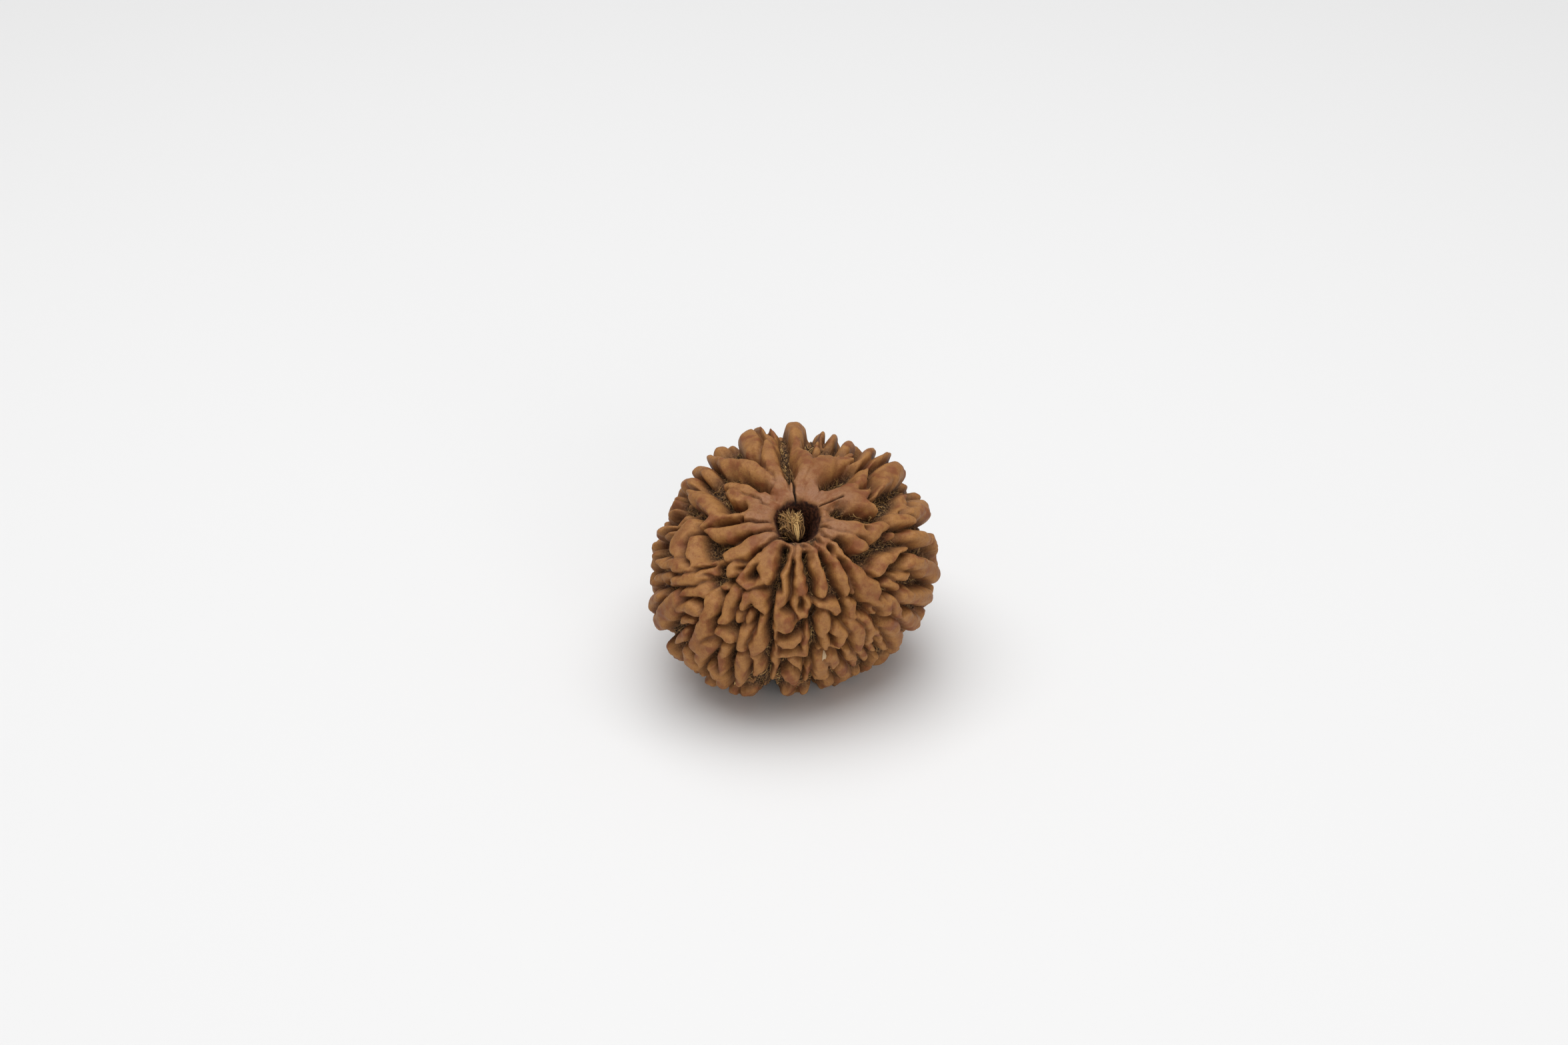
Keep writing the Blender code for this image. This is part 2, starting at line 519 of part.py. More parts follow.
def pit_depth(points, spot, radii, depth):
    """An oval pit with an uneven rim, narrowing inward: its radii are across and along its meridian."""
    line = directions(*spot)
    across = np.cross((0.0, 0.0, 1.0), line)
    across /= np.linalg.norm(across)
    along = np.cross(line, across)
    share = np.hypot(points @ across / radii[0], points @ along / radii[1])
    share /= 1.0 + PIT_UNEVEN * ripple(points, PIT_UNEVEN_LENGTH, PIT_SEED)
    return np.where(points @ line > 0.0, depth / (1.0 + share ** PIT_STEEPNESS), 0.0)


def stone_radius(way, ribs):
    """Final radius for unit directions, cut level where the seed meets the table."""
    bare = bare_radius(way)
    points = way * bare[:, None]
    mouth = pit_depth(points, MOUTH_AT, MOUTH_RADII, MOUTH_DEPTH)
    low_pit = pit_depth(points, LOW_PIT_AT, LOW_PIT_RADII, LOW_PIT_DEPTH)
    radius = bare - furrow_depth(points, ribs) - mouth - low_pit
    down = -(way @ np.array(seed_turn())[2])
    level = np.where(down > LEAST_DOWN, CENTRE_HEIGHT / np.maximum(down, LEAST_DOWN), CLEAR)
    return np.minimum(radius, level)


def sphere_mesh(name, level):
    mesh = bpy.data.meshes.new(name)
    bm = bmesh.new()
    bmesh.ops.create_icosphere(bm, subdivisions=level, radius=1.0)
    bm.to_mesh(mesh)
    bm.free()
    return mesh


def mesh_points(mesh):
    flat = np.empty(len(mesh.vertices) * 3)
    mesh.vertices.foreach_get("co", flat)
    return flat.reshape(-1, 3)


def set_mesh_points(mesh, points):
    mesh.vertices.foreach_set("co", np.asarray(points, float).ravel())
    mesh.update()


def place(obj, collection, material):
    collection.objects.link(obj)
    obj.data.materials.append(material)
    obj.rotation_euler = seed_turn().to_euler("XYZ")


def thin_mesh(obj, triangles):
    """Decimate the object's mesh to about the given count, applied."""
    modifier = obj.modifiers.new("Fewer facets", "DECIMATE")
    modifier.ratio = triangles / len(obj.data.polygons)
    bpy.context.view_layer.update()
    dense = obj.data
    obj.data = bpy.data.meshes.new_from_object(obj.evaluated_get(bpy.context.evaluated_depsgraph_get()))
    obj.modifiers.clear()
    bpy.data.meshes.remove(dense)


def make_stone(collection, material):
    ribs = [reach_mouth(stroke) for stroke in COLLAR_RIBS] + list(FRONT_KNOBS + RIM_KNOBS)
    ribs += hidden_knobs(ribs)
    mesh = sphere_mesh("stone", SPHERE_LEVEL)
    way = mesh_points(mesh)
    way /= np.linalg.norm(way, axis=1, keepdims=True)
    set_mesh_points(mesh, way * stone_radius(way, ribs)[:, None] * MM)
    stone = bpy.data.objects.new("stone", mesh)
    place(stone, collection, material)
    thin_mesh(stone, STONE_TRIANGLES)
    ease_folds(stone.data)
    settle(stone)
    stone.data.shade_smooth()
    return stone


def ease_folds(mesh):
    """Draw the points of facets that lean back over a furrow toward their neighbours."""
    corners = np.array([tuple(face.vertices) for face in mesh.polygons])
    edges = np.array([tuple(edge.vertices) for edge in mesh.edges])
    points = mesh_points(mesh)
    links = np.bincount(edges.ravel(), minlength=len(points))[:, None]
    for _ in range(FOLD_ROUNDS):
        a, b, c = points[corners[:, 0]], points[corners[:, 1]], points[corners[:, 2]]
        normal = np.cross(b - a, c - a)
        outward = a + b + c
        lean = (normal * outward).sum(1) / np.linalg.norm(normal, axis=1) / np.linalg.norm(outward, axis=1)
        folded = np.unique(corners[lean < FOLD_LIMIT])
        if not len(folded):
            break
        total = np.zeros_like(points)
        np.add.at(total, edges[:, 0], points[edges[:, 1]])
        np.add.at(total, edges[:, 1], points[edges[:, 0]])
        points[folded] += 0.5 * (total[folded] / links[folded] - points[folded])
    set_mesh_points(mesh, points)


def settle(stone):
    """Put the points of the worn flat exactly on one plane."""
    down = -np.array(seed_turn())[2]
    points = mesh_points(stone.data)
    reach = points @ down
    floor = CENTRE_HEIGHT * MM
    on_flat = np.abs(reach - floor) < FLAT_REACH * MM
    points[on_flat] += (floor - reach[on_flat])[:, None] * down
    set_mesh_points(stone.data, points)


def make_tuft(collection, material):
    mesh = sphere_mesh("canal_fibre", TUFT_LEVEL)
    way = mesh_points(mesh)
    way /= np.linalg.norm(way, axis=1, keepdims=True)
    shape = way * np.array(TUFT_RADII)
    shape[:, :2] *= (1.0 + TUFT_FLARE * way[:, 2:])
    shape *= (1.0 + TUFT_UNEVEN * ripple(shape, TUFT_UNEVEN_LENGTH, TUFT_SEED))[:, None]
    set_mesh_points(mesh, (shape + np.array(TUFT_CENTRE)) * MM)
    tuft = bpy.data.objects.new("canal_fibre", mesh)
    place(tuft, collection, material)
    mesh.shade_smooth()
    return tuft


def stand_on_origin(objects, stone):
    """Move the seed so that the middle of its box's underside is the origin."""
    bpy.context.view_layer.update()
    corners = np.array([tuple(stone.matrix_world @ v.co) for v in stone.data.vertices])
    middle = (corners.min(0) + corners.max(0)) / 2
    for obj in objects:
        obj.location = Vector((-middle[0], -middle[1], -corners[:, 2].min()))


def main():
    clear_scene()
    collection = new_collection("rudraksha_seed")
    stone = make_stone(collection, plain_material("stone", STONE_COLOUR, STONE_ROUGHNESS))
    tuft = make_tuft(collection, plain_material("dry_fibre", FIBRE_COLOUR, FIBRE_ROUGHNESS))
    stand_on_origin((stone, tuft), stone)


main()
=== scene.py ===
"""Finished look of the rudraksha seed: a fine ribbed stone, dry fibre in its furrows and mouth.

The stone is drawn again at a finer grain by the rule that gives its solid: a radius for every
direction from its centre, which is a bare body less the depth of the furrows, plus ribs and knobs.
Directions are (longitude, colatitude) in degrees about the seed's own axis, which runs from the
mouth at colatitude 0 to the lower end at 180. Lengths in the tables are in millimetres, and the
scene is in metres.
"""

import math
import random

import bmesh
import bpy
import numpy as np
from mathutils import Matrix, Vector

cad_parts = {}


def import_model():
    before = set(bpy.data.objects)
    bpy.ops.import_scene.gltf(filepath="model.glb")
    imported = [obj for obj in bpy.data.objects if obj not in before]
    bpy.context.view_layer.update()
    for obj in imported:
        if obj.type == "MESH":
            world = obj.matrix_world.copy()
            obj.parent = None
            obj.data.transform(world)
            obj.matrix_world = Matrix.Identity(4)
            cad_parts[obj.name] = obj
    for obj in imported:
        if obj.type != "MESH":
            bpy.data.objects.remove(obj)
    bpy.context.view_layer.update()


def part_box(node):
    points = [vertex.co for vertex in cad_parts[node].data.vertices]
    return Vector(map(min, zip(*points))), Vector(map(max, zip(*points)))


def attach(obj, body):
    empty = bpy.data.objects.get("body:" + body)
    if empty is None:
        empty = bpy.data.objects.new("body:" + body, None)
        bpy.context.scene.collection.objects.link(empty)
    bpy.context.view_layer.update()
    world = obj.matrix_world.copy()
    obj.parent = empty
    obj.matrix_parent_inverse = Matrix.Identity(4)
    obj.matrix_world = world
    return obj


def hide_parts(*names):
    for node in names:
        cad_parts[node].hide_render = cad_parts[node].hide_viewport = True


MM = 0.001

# The bare body, in mm
GIRTH = 15.0
TOP_REACH = 10.4
LOW_REACH = 12.2
ROUNDNESS = 2.3
TOP_SLANT = (0.105, -0.16)
LOW_SLANT = (0.09, 0.06)
GIRTH_WAVES = ((1, -0.02, 0.03), (2, 0.0, 0.045), (3, 0.03, -0.024))

# The mouth is a little in front of the axis: (longitude, colatitude), then mm
MOUTH_AT = (-90.0, 8.0)
MOUTH_RADII = (2.15, 2.55)
MOUTH_DEPTH = 4.6
MOUTH_RIM_DEG = 17.0
RIM_NARROWING = 0.45
LOW_PIT_AT = (60.0, 176.0)
LOW_PIT_RADII = (1.1, 1.1)
LOW_PIT_DEPTH = 2.2

# Swellings and hollows of the bare body: the spot that each is centred on, rise and radius in mm.
# The first is the dish round the mouth, and the second is under the seed's weight.
SWELLINGS = (
    (MOUTH_AT, -0.9, 3.4),
    ((-90.0, 168.0), 0.65, 4.0),
    ((66.0, 60.0), -1.0, 3.4),
    ((107.0, 67.0), 0.6, 2.4),
    ((46.0, 65.0), 1.0, 1.7),
)

# How the seed sits: the axis leans toward -Y and a little to +X, and a worn flat meets the table
AXIS_TILT_DEG = 24.0
AXIS_LEAN_DEG = 2.0
CENTRE_HEIGHT = 12.15

# Relief, in mm
FURROW_DEPTH = 2.1
RIB_FOOT = 1.13
RIB_BREADTH = 3.0
RIB_ROUNDING = 0.55
LOW_RISE = 0.62
BROAD_RISE = 0.5
RISE_WIDTHS = (0.3, 1.1)
RIB_MERGING = 7.0
RIB_BLUNTNESS = 2.0
OPEN_GROUND = 0.05
SLOT_SHARPNESS = 4
SEAM_DEPTH = 0.55
SEAM_REACH = 0.5
SEAM_FADE = (0.4, 0.8)
SWAYS = ((0.16, 2.6), (0.08, 1.2))
GROUND_BUMPS = 0.22
GROUND_BUMP_LENGTH = 1.5
GROUND_BUMP_FADE = (0.6, 0.2)
CREST_WAVES = ((0.12, 5.0), (0.06, 1.8))
SWAY_SEEDS = (1, 2, 3)
CREST_SEED = 4
BUMP_SEED = 5
PIT_SEED = 6
PIT_UNEVEN = 0.08
PIT_UNEVEN_LENGTH = 3.0
PIT_STEEPNESS = 20

# Colatitudes between which the furrows reach their full depth, lose some of it and run out
COLLAR_EDGE = (10.0, 36.0)
LOW_SHALLOWING = 0.5
LOW_SHALLOWING_EDGE = (92.0, 118.0)
LOW_COLLAR_EDGE = (166.0, 142.0)

# Bounds of the arithmetic: a share or a distance that is clear of everything, how many half widths
# from a stroke are looked at, and the least slope of the ways that meet the table
CLEAR = 99.0
STROKE_REACH = 2.2
LEAST_DOWN = 0.05

# Waves in a ripple, and how far their lengths spread
RIPPLE_WAVES = 9
RIPPLE_SPREAD = (0.75, 1.35)

# Ribs that run out from the collar, going round from the front by the right: each point is
# (longitude, colatitude, half width)
COLLAR_RIBS = (
    ((-87, 28, 0.8), (-87, 36, 1.0), (-87, 43, 1.1), (-86, 46, 0.9)),
    ((-74, 28, 0.8), (-73, 36, 1.0), (-72, 44, 1.0), (-73, 48, 0.8)),
    ((-63, 27, 0.6), (-61, 34, 0.9), (-59, 42, 1.1), (-60, 50, 0.9), (-57, 52, 0.5)),
    ((-54, 27, 0.9), (-51, 36, 1.2), (-46, 42, 1.2), (-49, 50, 1.0), (-47, 57, 1.5), (-46, 62, 0.8)),
    ((-41, 26, 0.9), (-36, 34, 1.2), (-33, 39, 1.0)),
    ((-28, 24, 1.1), (-23, 32, 1.4), (-16, 39, 1.3), (-9, 43, 0.9)),
    ((17, 24, 1.0), (9, 31, 1.3), (4, 38, 1.2), (2, 41, 0.9)),
    ((22, 28, 1.3), (18, 36, 1.3)),
    ((30, 26, 1.2), (31, 35, 1.3), (37, 43, 1.3), (42, 49, 0.9)),
    ((42, 23, 1.0), (41, 29, 1.0), (42, 34, 0.7)),
    ((64, 30, 1.1), (62, 40, 1.4), (59, 50, 1.2), (57, 53, 0.7)),
    ((72, 28, 1.4), (71, 38, 1.6), (69, 45, 1.4)),
    ((80, 28, 1.1), (82, 40, 1.2), (81, 47, 0.8)),
    ((88, 26, 1.2), (87, 40, 1.5), (88, 49, 1.2), (90, 57, 0.9), (91, 66, 1.1), (91, 74, 1.2)),
    ((114, 27, 1.1), (111, 38, 1.3), (109, 48, 1.3), (108, 55, 1.0)),
    ((128, 28, 1.0), (126, 38, 1.4), (130, 48, 1.3), (133, 56, 1.0), (132, 66, 0.8), (130, 76, 0.9)),
    ((150, 28, 1.0), (149, 37, 1.3), (148, 46, 1.1), (149, 53, 0.5)),
    ((168, 28, 1.1), (163, 36, 1.2), (157, 43, 0.9)),
    ((176, 29, 0.8), (170, 35, 0.8)),
    ((-172, 28, 1.0), (-176, 37, 1.2), (-176, 46, 1.2), (-174, 51, 0.8)),
    ((-153, 29, 1.0), (-158, 37, 1.3), (-164, 44, 1.2), (-168, 48, 0.8)),
    ((-133, 29, 1.1), (-137, 37, 1.5), (-141, 44, 1.2)),
    ((-113, 27, 1.1), (-114, 35, 1.5), (-111, 40, 1.3), (-107, 44, 0.8)),
    ((-98, 27, 0.8), (-98, 36, 0.9), (-98.5, 42, 0.75), (-98.5, 49, 0.95), (-99.5, 54, 0.6)),
)

# Lobes and knobs of the front, row by row outward, from left to right in each row
FRONT_KNOBS = (
    ((-123, 36, 0.9), (-126, 42, 0.6), (-124, 48, 0.7), (-119, 49, 0.6), (-112, 45, 0.7)),
    ((-131, 45, 1.0), (-134, 49, 0.7)),
    ((-143, 49, 0.6), (-142, 54, 0.6), (-146, 58, 0.5)),
    ((-132, 55, 0.6), (-129, 54.5, 0.5)),
    ((-124, 54, 0.9), (-123, 60, 0.8), (-122, 66, 0.5)),
    ((-116, 57, 0.5), (-117, 53, 0.8), (-113, 51.5, 1.0), (-107, 52.5, 1.0), (-105.5, 56, 0.6)),
    ((-99.5, 55, 0.6), (-96, 60, 1.25), (-93.5, 61.5, 0.9)),
    ((-99, 62, 0.6), (-98.7, 68, 0.3)),
    ((-90, 47, 0.6), (-90.5, 53, 0.6), (-87.5, 58, 0.6), (-83, 58.5, 0.6), (-82, 54, 0.5),
     (-84, 49, 0.5)),
    ((-79, 52.5, 0.35), (-73, 54, 0.7), (-67, 57, 0.95)),
    ((-61, 55, 0.7), (-59, 58, 0.8), (-60, 63, 0.75)),
    ((-116.7, 60.5, 0.55), (-116.5, 63.5, 0.6)),
    ((-111.5, 59, 0.5), (-112.5, 63, 0.55)),
    ((-106, 59, 0.5), (-105, 65, 0.6), (-105, 71, 0.95), (-106, 74, 0.7)),
    ((-111, 67, 0.9), (-111.5, 73, 0.9)),
    ((-122, 70, 0.7), (-117, 71, 0.8)),
    ((-133, 59.5, 0.8), (-130, 62, 1.1), (-130, 68, 0.8), (-129, 75, 1.1), (-129, 82, 1.0)),
    ((-124.5, 78, 0.9), (-127, 85, 0.8), (-127, 92, 0.4)),
    ((-134, 68, 0.7), (-139, 70, 0.8), (-142, 73, 0.7)),
    ((-135, 73, 0.5), (-139, 77, 0.6)),
    ((-137, 61, 0.8), (-142, 64, 0.8), (-145.5, 68, 0.6)),
    ((-144, 60, 0.8), (-149, 64, 0.9), (-153, 69, 0.8)),
    ((-151, 60, 0.8), (-157, 64, 1.0), (-163, 69, 0.9), (-167, 74, 0.5)),
    ((-157, 70, 0.7), (-160, 75, 0.7), (-164, 81, 0.3)),
    ((-84, 64, 0.5), (-84, 71, 0.6), (-84.5, 77, 0.55)),
    ((-96, 69, 0.6), (-92.5, 70.5, 0.9), (-88.5, 69, 0.6)),
    ((-96, 77, 0.5), (-91, 77.5, 0.6), (-85, 78, 0.5)),
    ((-76.5, 57.5, 0.7), (-74.5, 62, 0.9), (-76.5, 67, 0.7), (-75.5, 75, 0.55)),
    ((-78, 77, 0.4), (-71, 76, 0.5), (-68, 81, 0.4)),
    ((-70, 67, 1.0), (-67, 70, 1.1), (-69, 74, 0.6)),
    ((-62, 66, 0.7), (-59, 72, 1.0), (-58, 78, 0.9), (-58.5, 85, 0.6)),
    ((-57, 64, 0.7), (-54, 69, 0.8), (-52.5, 74, 0.8), (-53, 84, 0.7)),
    ((-51, 75, 0.6), (-49, 80, 0.7), (-47.5, 85, 0.5)),
    ((-49, 65, 0.4), (-49, 68, 0.5)),
    ((-44, 64, 0.8), (-43, 70, 1.0)),
    ((-40, 66, 0.8), (-37, 71, 1.0), (-38, 77, 0.7)),
    ((-43, 78, 1.0), (-40, 86, 1.2), (-38, 94, 1.0), (-38, 103, 0.7)),
    ((-48, 83, 0.5), (-46, 90, 0.6), (-43, 99, 0.6)),
    ((-119, 77, 0.8), (-118, 84, 0.6), (-118, 92, 0.45)),
    ((-111, 78, 0.7), (-111, 86, 0.9), (-111, 97, 0.7)),
    ((-106.5, 78, 0.6), (-104, 85, 0.6), (-103, 93, 0.5)),
    ((-98, 70, 0.4), (-98, 78, 0.5), (-98.5, 94, 0.45)),
    ((-90, 81, 0.55), (-88, 85, 0.5), (-86.5, 89, 0.35)),
    ((-92, 89, 0.7), (-90, 94, 0.8), (-88, 99, 0.6)),
    ((-83, 87, 0.5), (-82, 94, 0.55), (-83, 100, 0.5)),
    ((-78, 82, 0.9), (-77, 90, 1.0), (-76, 102, 0.8)),
    ((-73, 83, 0.9), (-71, 92, 0.7)),
    ((-65, 82, 0.6), (-62, 90, 0.7), (-60.5, 98, 0.5)),
    ((-59, 88, 0.5), (-56, 94, 0.6), (-54, 99, 0.4)),
    ((-53, 87, 0.4), (-51, 92, 0.5), (-49.5, 97, 0.35)),
    ((-136, 81, 0.7), (-138, 87, 0.6), (-139, 91, 0.35)),
    ((-133, 90, 0.8), (-131, 98, 0.9), (-129, 106, 0.8)),
    ((-122, 91, 0.6), (-119.5, 98, 0.8), (-118, 106, 0.7)),
    ((-67, 95, 0.8), (-65, 103, 0.9), (-62, 112, 0.8)),
)

# Lobes and knobs of the flanks and of the far rim, from the right round the back to the left
RIM_KNOBS = (
    ((-18, 47.5, 0.35), (-10, 51, 0.4)),
    ((-38, 51, 0.6), (-30, 52.5, 0.8), (-21, 55, 0.7), (-14, 57.5, 0.5)),
    ((-38, 58, 0.5), (-32, 63, 0.7)),
    ((-28, 60, 0.7), (-25, 64, 0.6)),
    ((-21, 60, 0.8), (-17, 64, 0.9), (-13, 71, 1.0), (-9, 80, 1.1), (-5, 89, 1.1)),
    ((-33, 68, 0.8), (-29, 74, 1.0), (-23, 79, 1.0), (-18, 87, 1.0), (-12, 96, 0.8)),
    ((-36, 79, 0.8), (-32, 85, 1.1), (-28, 92, 1.1), (-24, 101, 0.8)),
    ((-2, 47, 0.8), (1, 53, 1.0), (3, 58, 0.7)),
    ((-6, 57, 0.7), (-3, 64, 0.9), (-1, 70, 0.6)),
    ((6, 52, 0.4), (14, 58, 0.5), (22, 64, 0.5), (26, 68, 0.4)),
    ((9, 58, 0.9), (13, 65, 1.2), (19, 74, 1.5), (22, 82, 1.2)),
    ((19, 41, 0.9), (26, 50, 1.1), (33, 58, 1.3), (38, 66, 1.3), (41, 74, 1.4)),
    ((45, 56, 0.6), (46, 64, 0.7), (48, 72, 0.9)),
    ((51, 49, 0.6), (50, 55, 0.8), (52, 63, 0.9), (54, 72, 1.1)),
    ((60.5, 57, 0.5), (61, 64, 0.6)),
    ((65.5, 58, 0.3), (65.5, 63, 0.4)),
    ((75, 51, 0.3), (76, 53, 0.35)),
    ((78, 58, 0.5), (78, 65, 0.6)),
    ((105, 59, 0.9), (104, 67, 1.1), (105, 76, 1.2)),
    ((116, 54, 0.8), (114, 64, 1.2), (112, 74, 1.3)),
    ((128, 58, 0.3), (128, 60, 0.3)),
    ((143, 64, 0.8), (139, 75, 1.0)),
    ((177, 46, 1.0), (171, 50, 1.1), (164, 56, 1.1), (158, 62, 1.1), (151, 70, 1.0), (147, 78, 0.9)),
    ((174, 64, 0.5), (176, 67, 0.4)),
    ((166, 72, 0.5), (165, 78, 0.7)),
    ((180, 68, 1.0), (175, 79, 1.1)),
    ((-178, 57, 0.9), (-174, 62, 1.2), (-168, 65, 1.0), (-163, 64, 0.6)),
    ((-147, 52, 0.5), (-152, 57, 0.7), (-160, 57.5, 0.8), (-168, 57, 0.8)),
    ((-146, 72, 1.1), (-148, 80, 1.4), (-150, 88, 1.2), (-153, 97, 0.9)),
    ((-155, 79, 0.7), (-158, 88, 0.9), (-159, 96, 0.7)),
)

# Slots, cracks and pits, each with the depth in mm that it reaches below the bare body
SLOTS = (
    (2.7, ((99, 26, 0.35), (99, 33, 0.55), (98, 45, 0.6), (98, 60, 0.6))),
    (2.5, ((138, 25, 0.4), (137, 34, 0.6), (138, 46, 0.6))),
    (2.7, ((142, 53, 0.8), (149, 60, 0.8))),
    (2.0, ((175, 33, 0.5), (176, 39, 0.5), (168, 43, 0.4), (158, 47, 0.45), (151, 52, 0.4))),
    (2.7, ((48, 27, 0.8), (50, 34, 0.95), (49, 42, 0.9), (49, 47, 0.5))),
    (1.7, ((35, 36, 0.2), (41, 39, 0.3), (46, 44, 0.4))),
    (2.0, ((45, 50, 0.3), (47, 57, 0.3))),
    (1.7, ((12, 39, 0.2), (22, 43, 0.25), (30, 48, 0.25), (36, 51, 0.25))),
    (2.7, ((0, 44, 0.4), (8, 44, 0.5), (15, 48, 0.8), (21, 53, 0.6), (26, 59, 0.5))),
    (2.3, ((-7, 22, 0.3), (-5, 28, 0.55), (-6, 36, 0.6), (-2, 41, 0.4))),
    (0.8, ((-17, 36, 0.25), (-16.5, 37, 0.25))),
    (2.3, ((-44, 30, 0.3), (-43, 38, 0.5), (-40, 44, 0.5), (-26, 46, 0.6), (-14, 49, 0.4))),
    (2.5, ((-37, 55.5, 0.35), (-26, 57, 0.4), (-13, 60, 0.4))),
    (1.5, ((-55, 30, 0.2), (-54, 40, 0.25), (-57, 50, 0.2), (-57, 60, 0.2))),
    (2.0, ((-67, 30, 0.2), (-66, 38, 0.35), (-66, 47, 0.3), (-63, 54, 0.25), (-64, 62, 0.2))),
    (2.4, ((-80, 29, 0.25), (-81, 38, 0.35), (-80, 46, 0.3), (-80.5, 64, 0.25), (-80, 74, 0.3))),
    (1.7, ((-92, 34, 0.2), (-93, 44, 0.25), (-94, 54, 0.35))),
    (2.5, ((-103.5, 28, 0.3), (-103.5, 35, 0.45), (-103, 41, 0.3), (-103, 55, 0.3), (-101, 72, 0.3),
           (-100.5, 92, 0.25))),
    (2.3, ((-120, 44, 0.4), (-119.5, 46, 0.4))),
    (1.5, ((-147, 30, 0.2), (-149, 38, 0.3), (-149, 45, 0.3))),
    (2.4, ((-162, 51, 0.4), (-156, 52, 0.6), (-150, 52, 0.4))),
    (1.6, ((-168, 30, 0.15), (-170, 38, 0.25), (-171, 46, 0.25), (-170, 53, 0.3))),
    (1.4, ((-126, 32, 0.2), (-129, 38, 0.2), (-128, 45, 0.2))),
    (2.2, ((-140, 52, 0.5), (-134, 52, 0.5), (-136, 57, 0.5))),
    (2.3, ((67, 54, 0.5), (76, 50, 0.5), (84, 53, 0.5), (85, 62, 0.4))),
    (2.5, ((125, 54, 0.3), (125.5, 60, 0.5), (124, 68, 0.5))),
    (1.7, ((-86.5, 53, 0.3), (-86.5, 54, 0.3))),
    (2.4, ((-102, 92, 0.4), (-100, 106, 0.6), (-99, 122, 0.8), (-98, 136, 0.5))),
)

# The rule for the hidden side and the underside: segments part at long furrows
SEGMENTS = 14
FIRST_FURROW_LON = -103.5
CHAINS_PER_SEGMENT = 3
HIDDEN_ROWS = (54.0, 130.0)
LOW_ROWS = (130.0, 145.0, 160.0)
HIDDEN_SEED = 14
FURROW_SEED = 15
CLEARANCE_SHARE = 0.62
LONG_FURROW = 2.0
LONG_FURROW_WIDTH = 0.3
LONG_FURROW_SWAY = 1.3
LONG_FURROW_POINTS = 8
FRONT_FURROW_START = 100.0
BACK_FURROW_START = 62.0

# Knobs of the hidden side, in degrees and mm: where a chain starts, how long a knob and the gap
# after it are, how far it strays and bends, and its half widths
CHAIN_STRAY = 0.8
CHAIN_START = 4.0
KNOB_RUN = (7.0, 15.0)
KNOB_GAP = (3.5, 5.5)
KNOB_SWAY = 2.0
KNOB_BEND = 2.2
KNOB_WIDTH = (0.75, 1.2)
KNOB_END_SHARES = (0.6, 1.0)
LOW_RIB_WIDTHS = (1.2, 1.5, 1.3)
LOW_RIB_SWAY = 3.0

# The fine mesh, and how often points are averaged with their neighbours: to soften the shape, to
# find what lies above or below its surroundings, and to soften what the finish reads
SPHERE_LEVEL = 8
STONE_TRIANGLES = 195000
SMOOTH_ROUNDS = 1
HOLLOW_ROUNDS = 14
MEASURE_ROUNDS = 3

# Where the finish changes: how far a point lies below its surroundings for the painted shade, with some
# grime, of the hollows, then above them for the crests' ochre, partly worn colour and partly painted
# highlight, in mm, then the colatitudes of the collar's tint, and the shares of the mouth's depth for
# its lining, which painted shade darkens
HOLLOW_SHADE_RISE = (-0.02, -0.16)
CREST_WEAR_AND_HIGHLIGHT_RISE = (0.01, 0.1)
COLLAR_TINT = (36.0, 20.0)
MOUTH_LINING_AND_SHADE_TINT = (0.0, 0.2)

# How far the mesh is drawn in round the mouth, and over how many degrees
GATHER = 0.5
GATHER_DEG = 32.0

# Cracks of the collar, as in SLOTS, and how far their stain reaches past their width
FINE_CRACKS = (
    (0.9, ((95, 9, 0.07), (98, 14, 0.06), (96, 18, 0.06), (98, 22, 0.06), (99, 27, 0.07))),
    (0.7, ((8, 13, 0.03), (11, 18, 0.035), (16, 25, 0.04))),
)
CRACK_STAIN = 1.3

# A small pale chip low on the front, each point as in a rib
CHIP = ((-75.6, 80.6, 0.14), (-76.4, 81.8, 0.12))

# A furrow's floor: the shares of its depth at which it begins and is whole, and a least depth in mm
FLOOR_SHARES = (0.7, 0.95)
LEAST_GROUND = 0.9

# Radial creases of the collar: how many, where they start and end in degrees, how far they stray,
# then their half width and depth in mm
CREASES = 34
CREASE_START = (13.0, 16.0)
CREASE_END = (22.0, 35.0)
CREASE_STRAY = 4.0
CREASE_WIDTH = 0.16
CREASE_WIDTH_SHARES = (0.7, 1.3)
CREASE_DEPTH = 0.08
CREASE_SEED = 31

# Fine relief of the skin, of the fibre on the furrows' floor and of the mouth's lining: (height mm,
# wavelength mm, seed), then the shares of the mouth's depth at which its lining begins and is whole
SKIN_RELIEF = ((0.04, 0.9, 41), (0.02, 0.45, 42))
BARK_RELIEF = ((0.17, 0.8, 43), (0.1, 0.42, 44))
LINING_RELIEF = ((0.3, 1.1, 45), (0.15, 0.5, 46))
LINING_SHARES = (0.0, 0.2)

# Strands of dry fibre. A strand's sides are set off from a direction that no strand follows.
STRAND_SIDES = 4
STRAND_STEPS = 7
STRAND_TAPER = 0.5
STRAND_REFERENCE = (0.31, 0.83, 0.46)

# Strands that lie in the furrows, in mm and radians: how many, where, how they lie, their sizes and
# tones, then the probes that find which way a furrow runs
BED_TRIES = 60000
BED_STRANDS = 4600
BED_SEED = 21
BED_DEPTHS = (0.7, 1.6)
BED_LOWEST = -0.75
BED_STRAY = 0.4
BED_BEND = 0.7
BED_LENGTHS = (0.5, 2.0)
BED_RADII = (0.022, 0.055)
BED_FLATNESS = (1.0, 2.4)
BED_LIFTS = (-0.04, 0.09)
BED_CLIMB = 0.25
BED_WAVE = 0.04
BED_TONES = (0.8, 1.5)
VALLEY_PROBE = 0.55
VALLEY_DIRECTIONS = 16

